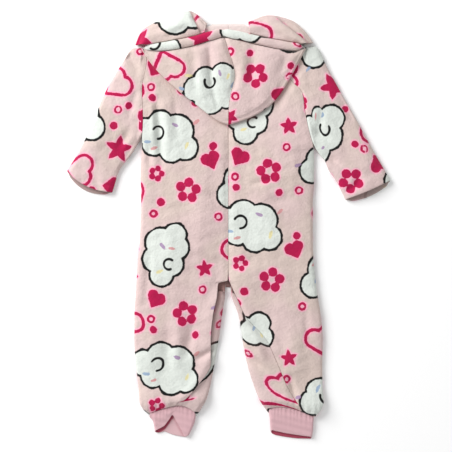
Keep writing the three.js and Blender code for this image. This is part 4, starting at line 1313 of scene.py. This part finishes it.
def fleeceMaterial():
    material, nodes, links, shader = newMaterial("printed_fleece")
    fibre = node(nodes, "ShaderNodeGroup", node_tree=fibres)
    fibre.inputs["Fine scale"].default_value = 850
    fibre.inputs["Clump scale"].default_value = 230
    place = nodes.new("ShaderNodeTexCoord").outputs["Object"]
    wander = math(nodes, links, "SUBTRACT", noise(nodes, links, place, 70, 1), 0.5)
    blotch = math(nodes, links, "SUBTRACT", noise(nodes, links, place, 28, 2), 0.5)
    wobble = math(nodes, links, "ADD", math(nodes, links, "MULTIPLY", wander, fleeceLook["wander"]),
                  math(nodes, links, "MULTIPLY", fibre.outputs["Wobble"], fleeceLook["hairs"]))

    def field(name):
        return node(nodes, "ShaderNodeAttribute", attribute_name=name).outputs["Fac"]

    cloud = math(nodes, links, "ADD", field("cloud"), wobble)
    magenta = math(nodes, links, "ADD", field("magenta"), wobble)
    sprinkle = math(nodes, links, "ADD", field("sprinkle"), wobble)
    warm = ramp(nodes, links, noise(nodes, links, place, 9, 2), 0.42, 0.62, 0, 0.9)
    ground = blendColour(nodes, links, warm, fleeceLook["ground"], fleeceLook["groundWarm"])
    colour = blendColour(nodes, links, ramp(nodes, links, cloud, -0.6, 0.6, 1, 0), ground, fleeceLook["white"])
    stroke = math(nodes, links, "MINIMUM", math(nodes, links, "ABSOLUTE", cloud), field("curl"))
    stroke = math(nodes, links, "ADD", stroke, math(nodes, links, "MULTIPLY", wander, 2.2))
    onLine = ramp(nodes, links, stroke, cloudLine - 0.7, cloudLine + 0.7, 1, 0)
    colour = blendColour(nodes, links, onLine, colour, fleeceLook["line"])
    clear = ramp(nodes, links, cloud, cloudLine, cloudLine + 1, 0, 1)
    halo = math(nodes, links, "MULTIPLY", ramp(nodes, links, magenta, 0.6, 4.2, 0.95, 0), clear)
    colour = blendColour(nodes, links, halo, colour, fleeceLook["halo"])
    solid = math(nodes, links, "MULTIPLY", ramp(nodes, links, magenta, -0.5, 0.5, 1, 0), clear)
    colour = blendColour(nodes, links, solid, colour, fleeceLook["magenta"])
    hues = node(nodes, "ShaderNodeValToRGB")
    hues.color_ramp.interpolation = "CONSTANT"
    hues.color_ramp.elements[0].position = 0
    hues.color_ramp.elements[1].position = 0.125
    hues.color_ramp.elements.new(0.375)
    hues.color_ramp.elements.new(0.625)
    hues.color_ramp.elements.new(0.875)
    order = [0, 0, 1, 2, 3]
    for element, k in zip(hues.color_ramp.elements, order):
        element.color = fleeceLook["hues"][k] + (1,)
    links.new(math(nodes, links, "MULTIPLY", math(nodes, links, "ADD", field("hue"), 0.5), 0.25), hues.inputs["Fac"])
    colour = blendColour(nodes, links, ramp(nodes, links, sprinkle, -0.4, 0.5, 0.9, 0), colour, hues.outputs["Color"])
    wrongSide = math(nodes, links, "MULTIPLY", field("inside"), fleeceLook["wrongShare"])
    colour = blendColour(nodes, links, wrongSide, colour, fleeceLook["wrongSide"])
    # Painted shade: the shade attribute darkens the colour where the cloth would lie in shade.
    colour = blendColour(nodes, links, field("shade"), colour, fleeceLook["shade"])
    tone = math(nodes, links, "ADD", math(nodes, links, "MULTIPLY", fibre.outputs["Tone"], fleeceLook["toneDepth"]),
                math(nodes, links, "ADD", math(nodes, links, "MULTIPLY", blotch, 0.10), 1.0))
    shaded = node(nodes, "ShaderNodeVectorMath", operation="SCALE")
    links.new(colour, shaded.inputs[0])
    links.new(tone, shaded.inputs["Scale"])
    links.new(shaded.outputs[0], shader.inputs["Base Color"])
    bump = node(nodes, "ShaderNodeBump")
    bump.inputs["Strength"].default_value = fleeceLook["bump"]
    bump.inputs["Distance"].default_value = fleeceLook["bumpDistance"]
    links.new(fibre.outputs["Height"], bump.inputs["Height"])
    links.new(bump.outputs["Normal"], shader.inputs["Normal"])
    shader.inputs["Roughness"].default_value = 0.95
    shader.inputs["Specular IOR Level"].default_value = 0.08
    shader.inputs["Sheen Weight"].default_value = 0.12
    shader.inputs["Sheen Roughness"].default_value = 0.6
    shader.inputs["Sheen Tint"].default_value = (1, 0.93, 0.91, 1)
    return material


# The darkest colour is painted shade inside each cuff's mouth, under its top lip.
jerseyLook = {"outer": (0.64, 0.405, 0.435), "lip": (0.67, 0.44, 0.465), "paintedMouthShade": (0.38, 0.06, 0.10)}


def jerseyMaterial():
    material, nodes, links, shader = newMaterial("pink_jersey")
    fibre = node(nodes, "ShaderNodeGroup", node_tree=fibres)
    fibre.inputs["Fine scale"].default_value = 1500
    fibre.inputs["Clump scale"].default_value = 120
    inside = node(nodes, "ShaderNodeAttribute", attribute_name="inside").outputs["Fac"]
    # Painted shade: inner faces darken under the top lip, where the mouth lies in shade.
    paintedMouthShade = math(nodes, links, "MULTIPLY", inside, node(nodes, "ShaderNodeAttribute", attribute_name="paintedMouthShade").outputs["Fac"])
    colour = blendColour(nodes, links, inside, jerseyLook["outer"], jerseyLook["lip"])
    colour = blendColour(nodes, links, paintedMouthShade, colour, jerseyLook["paintedMouthShade"])
    wales = node(nodes, "ShaderNodeAttribute", attribute_name="across").outputs["Fac"]
    rib = math(nodes, links, "SINE", math(nodes, links, "MULTIPLY", wales, 4.2))
    height = math(nodes, links, "ADD", math(nodes, links, "MULTIPLY", rib, 0.35), fibre.outputs["Height"])
    tone = math(nodes, links, "ADD", math(nodes, links, "MULTIPLY", fibre.outputs["Tone"], 0.16), 1.0)
    shaded = node(nodes, "ShaderNodeVectorMath", operation="SCALE")
    links.new(colour, shaded.inputs[0])
    links.new(tone, shaded.inputs["Scale"])
    links.new(shaded.outputs[0], shader.inputs["Base Color"])
    bump = node(nodes, "ShaderNodeBump")
    bump.inputs["Strength"].default_value = 0.4
    bump.inputs["Distance"].default_value = 0.0005
    links.new(height, bump.inputs["Height"])
    links.new(bump.outputs["Normal"], shader.inputs["Normal"])
    shader.inputs["Roughness"].default_value = 0.85
    shader.inputs["Specular IOR Level"].default_value = 0.2
    shader.inputs["Sheen Weight"].default_value = 0.15
    return material


def tapeMaterial():
    material, nodes, links, shader = newMaterial("zip_tape")
    fibre = node(nodes, "ShaderNodeGroup", node_tree=fibres)
    fibre.inputs["Fine scale"].default_value = 2500
    fibre.inputs["Clump scale"].default_value = 600
    coil = node(nodes, "ShaderNodeAttribute", attribute_name="coil").outputs["Fac"]
    colour = blendColour(nodes, links, coil, (0.72, 0.50, 0.52), (0.80, 0.66, 0.66))
    # Painted shade at the zip's foot.
    shade = node(nodes, "ShaderNodeAttribute", attribute_name="shade").outputs["Fac"]
    colour = blendColour(nodes, links, shade, colour, fleeceLook["shade"])
    tone = math(nodes, links, "ADD", math(nodes, links, "MULTIPLY", fibre.outputs["Tone"], 0.2), 1.0)
    shaded = node(nodes, "ShaderNodeVectorMath", operation="SCALE")
    links.new(colour, shaded.inputs[0])
    links.new(tone, shaded.inputs["Scale"])
    links.new(shaded.outputs[0], shader.inputs["Base Color"])
    links.new(ramp(nodes, links, coil, 0, 1, 0.8, 0.4), shader.inputs["Roughness"])
    return material


def sliderMaterial():
    material, nodes, links, shader = newMaterial("painted_slider")
    place = nodes.new("ShaderNodeTexCoord").outputs["Object"]
    speck = noise(nodes, links, place, 700, 2)
    colour = blendColour(nodes, links, ramp(nodes, links, speck, 0.62, 0.7, 0, 0.5), (0.70, 0.42, 0.47), (0.55, 0.50, 0.48))
    links.new(colour, shader.inputs["Base Color"])
    links.new(ramp(nodes, links, speck, 0.3, 0.7, 0.28, 0.42), shader.inputs["Roughness"])
    return material


def floorMaterial():
    material, nodes, links, shader = newMaterial("pale_floor")
    shader.inputs["Base Color"].default_value = (0.98, 0.98, 0.98, 1)
    shader.inputs["Roughness"].default_value = 0.9
    return material


floorMesh.materials.append(floorMaterial())
for name in ("left", "right"):
    cuffPiece = pieces[f"jersey_cuff_{name}"]
    addField(cuffPiece["mesh"], "across", cuffPiece["u"])
    addField(cuffPiece["mesh"], "paintedMouthShade", cuffPiece["paintedMouthShade"])
materials = {"fleece": fleeceMaterial(), "jersey": jerseyMaterial(), "tape": tapeMaterial(), "slider": sliderMaterial()}
print("materials")


# ---- Placing the pieces in the frame

# columns: piece, node, slot, material
placed = []
for name in ("left", "right"):
    placed += [
        (f"fleece_back_{name}", f"back_{name}", "fleece", "fleece"),
        (f"fleece_front_{name}", f"front_{name}", "fleece", "fleece"),
        (f"fleece_sleeve_{name}", f"sleeve_{name}", "fleece", "fleece"),
        (f"fleece_hood_{name}", f"hood_{name}", "fleece", "fleece"),
        (f"fleece_hood_front_{name}", f"hood_front_{name}", "fleece", "fleece"),
        (f"jersey_cuff_{name}", f"cuff_{name}", "cuff_jersey", "jersey"),
    ]
placed += [
    ("fleece_hood_hem", "hood_hem", "fleece", "fleece"),
    ("zip_tape_and_coil", "zip", "zip_tape", "tape"),
    ("zip_slider_block", "zip_slider", "zip_slider", "slider"),
]
for pieceName, nodeName, slotName, materialName in placed:
    mesh = pieces[pieceName]["mesh"]
    mesh.materials.append(materials[materialName])
    piece = bpy.data.objects.new(pieceName, mesh)
    bpy.context.scene.collection.objects.link(piece)
    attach(piece, "root")
    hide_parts(nodeName)

print("pieces placed")
